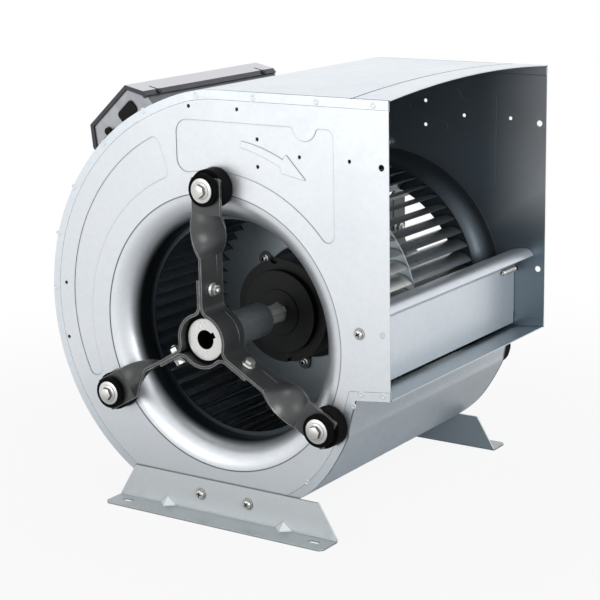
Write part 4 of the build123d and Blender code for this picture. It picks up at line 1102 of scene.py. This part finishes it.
# %% Strap beads
bead_depth = 172.3
bead_radius = 0.8
strap_face = 3.1
hub_bend_radius = 28.5
hub_bend_angle = 72.0
front_way = (0, -1, 0)
capsule = [
    (0.0, 62.0), (0.5, 62.15), (bead_radius, 62.8), (bead_radius, 83.2), (0.5, 83.85), (0.0, 84.0),
]
strap_beads = bmesh.new()
for side in sides:
    for angle, turn in ((90.0, -90.0), (330.0, 90.0), (210.0, -90.0)):
        across = Vector((cos(radians(angle + turn)), 0, sin(radians(angle + turn))))
        along = (cos(radians(angle)), 0, sin(radians(angle)))
        start = at(0, side * bead_depth, 0) + across * strap_face * millimetre
        stamp(strap_beads, turned(capsule, 12), facing(start, along))
    for start_angle in (-6.0, 114.0, 234.0):
        bead = bmesh.new()
        bmesh.ops.create_circle(
            bead, cap_ends=True, segments=10, radius=bead_radius * millimetre,
        )
        bmesh.ops.translate(
            bead, verts=bead.verts, vec=at(hub_bend_radius, side * bead_depth, 0),
        )
        bmesh.ops.rotate(
            bead, verts=bead.verts, cent=at(0, 0, 0),
            matrix=Matrix.Rotation(radians(start_angle), 3, front_way),
        )
        bmesh.ops.spin(
            bead, geom=list(bead.verts) + list(bead.edges) + list(bead.faces),
            cent=at(0, 0, 0), axis=front_way, angle=radians(hub_bend_angle), steps=18,
        )
        stamp(strap_beads, bead, Matrix.Identity(4))
finish_piece(strap_beads, "strap_beads", "bead_paint", "housing")

# %% [markdown]
# ## Mount bolts at the ends of the arms
# The rubber mounts are held by larger flanged bolts over a broad washer. Head and flange are
# one forging, so both belong to one piece, and the shank runs on through the sleeve.

# %% Mount bolts and washers
mount_circle = 151.0
washer_front = 190.6
mount_flange = [(0.0, 0.0), (8.9, 0.0), (8.9, 0.5), (6.9, 1.7), (0.0, 1.7)]
mount_shank = [(0.0, -34.1), (3.3, -33.6), (4.0, -32.6), (4.0, 0.5), (0.0, 0.5)]
broad_washer = [
    (4.2, -1.6), (12.2, -1.6), (12.5, -1.2), (12.4, -0.3), (11.9, 0.0), (4.2, 0.0), (4.2, -1.6),
]
mount_bolts, mount_washers = bmesh.new(), bmesh.new()
for side in sides:
    outward = (0, side, 0)
    for count, angle in enumerate(arm_angles):
        seat = round_axis(mount_circle, angle, side * washer_front)
        head_place = facing(seat, outward, 8 + 17 * count)
        stamp(mount_bolts, turned(mount_flange, 32), facing(seat, outward))
        stamp(mount_bolts, even_bar(6, 12.0, 1.0, 5.3, 0.9), head_place)
        stamp(mount_bolts, turned(mount_shank, 20), facing(seat, outward))
        stamp(mount_washers, turned(broad_washer, 40), facing(seat, outward))
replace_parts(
    finish_piece(mount_bolts, "mount_flange_bolts", "bolt_zinc", "housing"),
    "mount_bolts",
)
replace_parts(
    finish_piece(mount_washers, "mount_broad_washers", "bolt_zinc", "housing"),
    "mount_washers",
)

# %% [markdown]
# ## Ear screws of the motor
# The rotor is screwed to the wheel's middle disc through three ears. These screws turn with
# the wheel, so they ride on the impeller and not on the housing.

# %% Ear screws
ear_circle = 70.5
ear_front = 3.75
ear_washer = [(0.0, 0.0), (5.2, 0.0), (5.2, 0.6), (4.9, 0.8), (0.0, 0.8)]
ear_shank = [(0.0, -9.5), (2.1, -9.2), (2.5, -8.6), (2.5, 0.4), (0.0, 0.4)]
ear_screws = bmesh.new()
for angle in (24.0, 144.0, 264.0):
    seat = facing(round_axis(ear_circle, angle, -ear_front), front_way)
    top = round_axis(ear_circle, angle, -ear_front - 0.8)
    stamp(ear_screws, turned(ear_washer, 28), seat)
    stamp(ear_screws, cross_head(3.7, 2.4), facing(top, front_way, angle))
    stamp(ear_screws, turned(ear_shank, 16), seat)
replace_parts(finish_piece(ear_screws, "ear_pan_screws", "zinc", "impeller"), "rotor_screws")
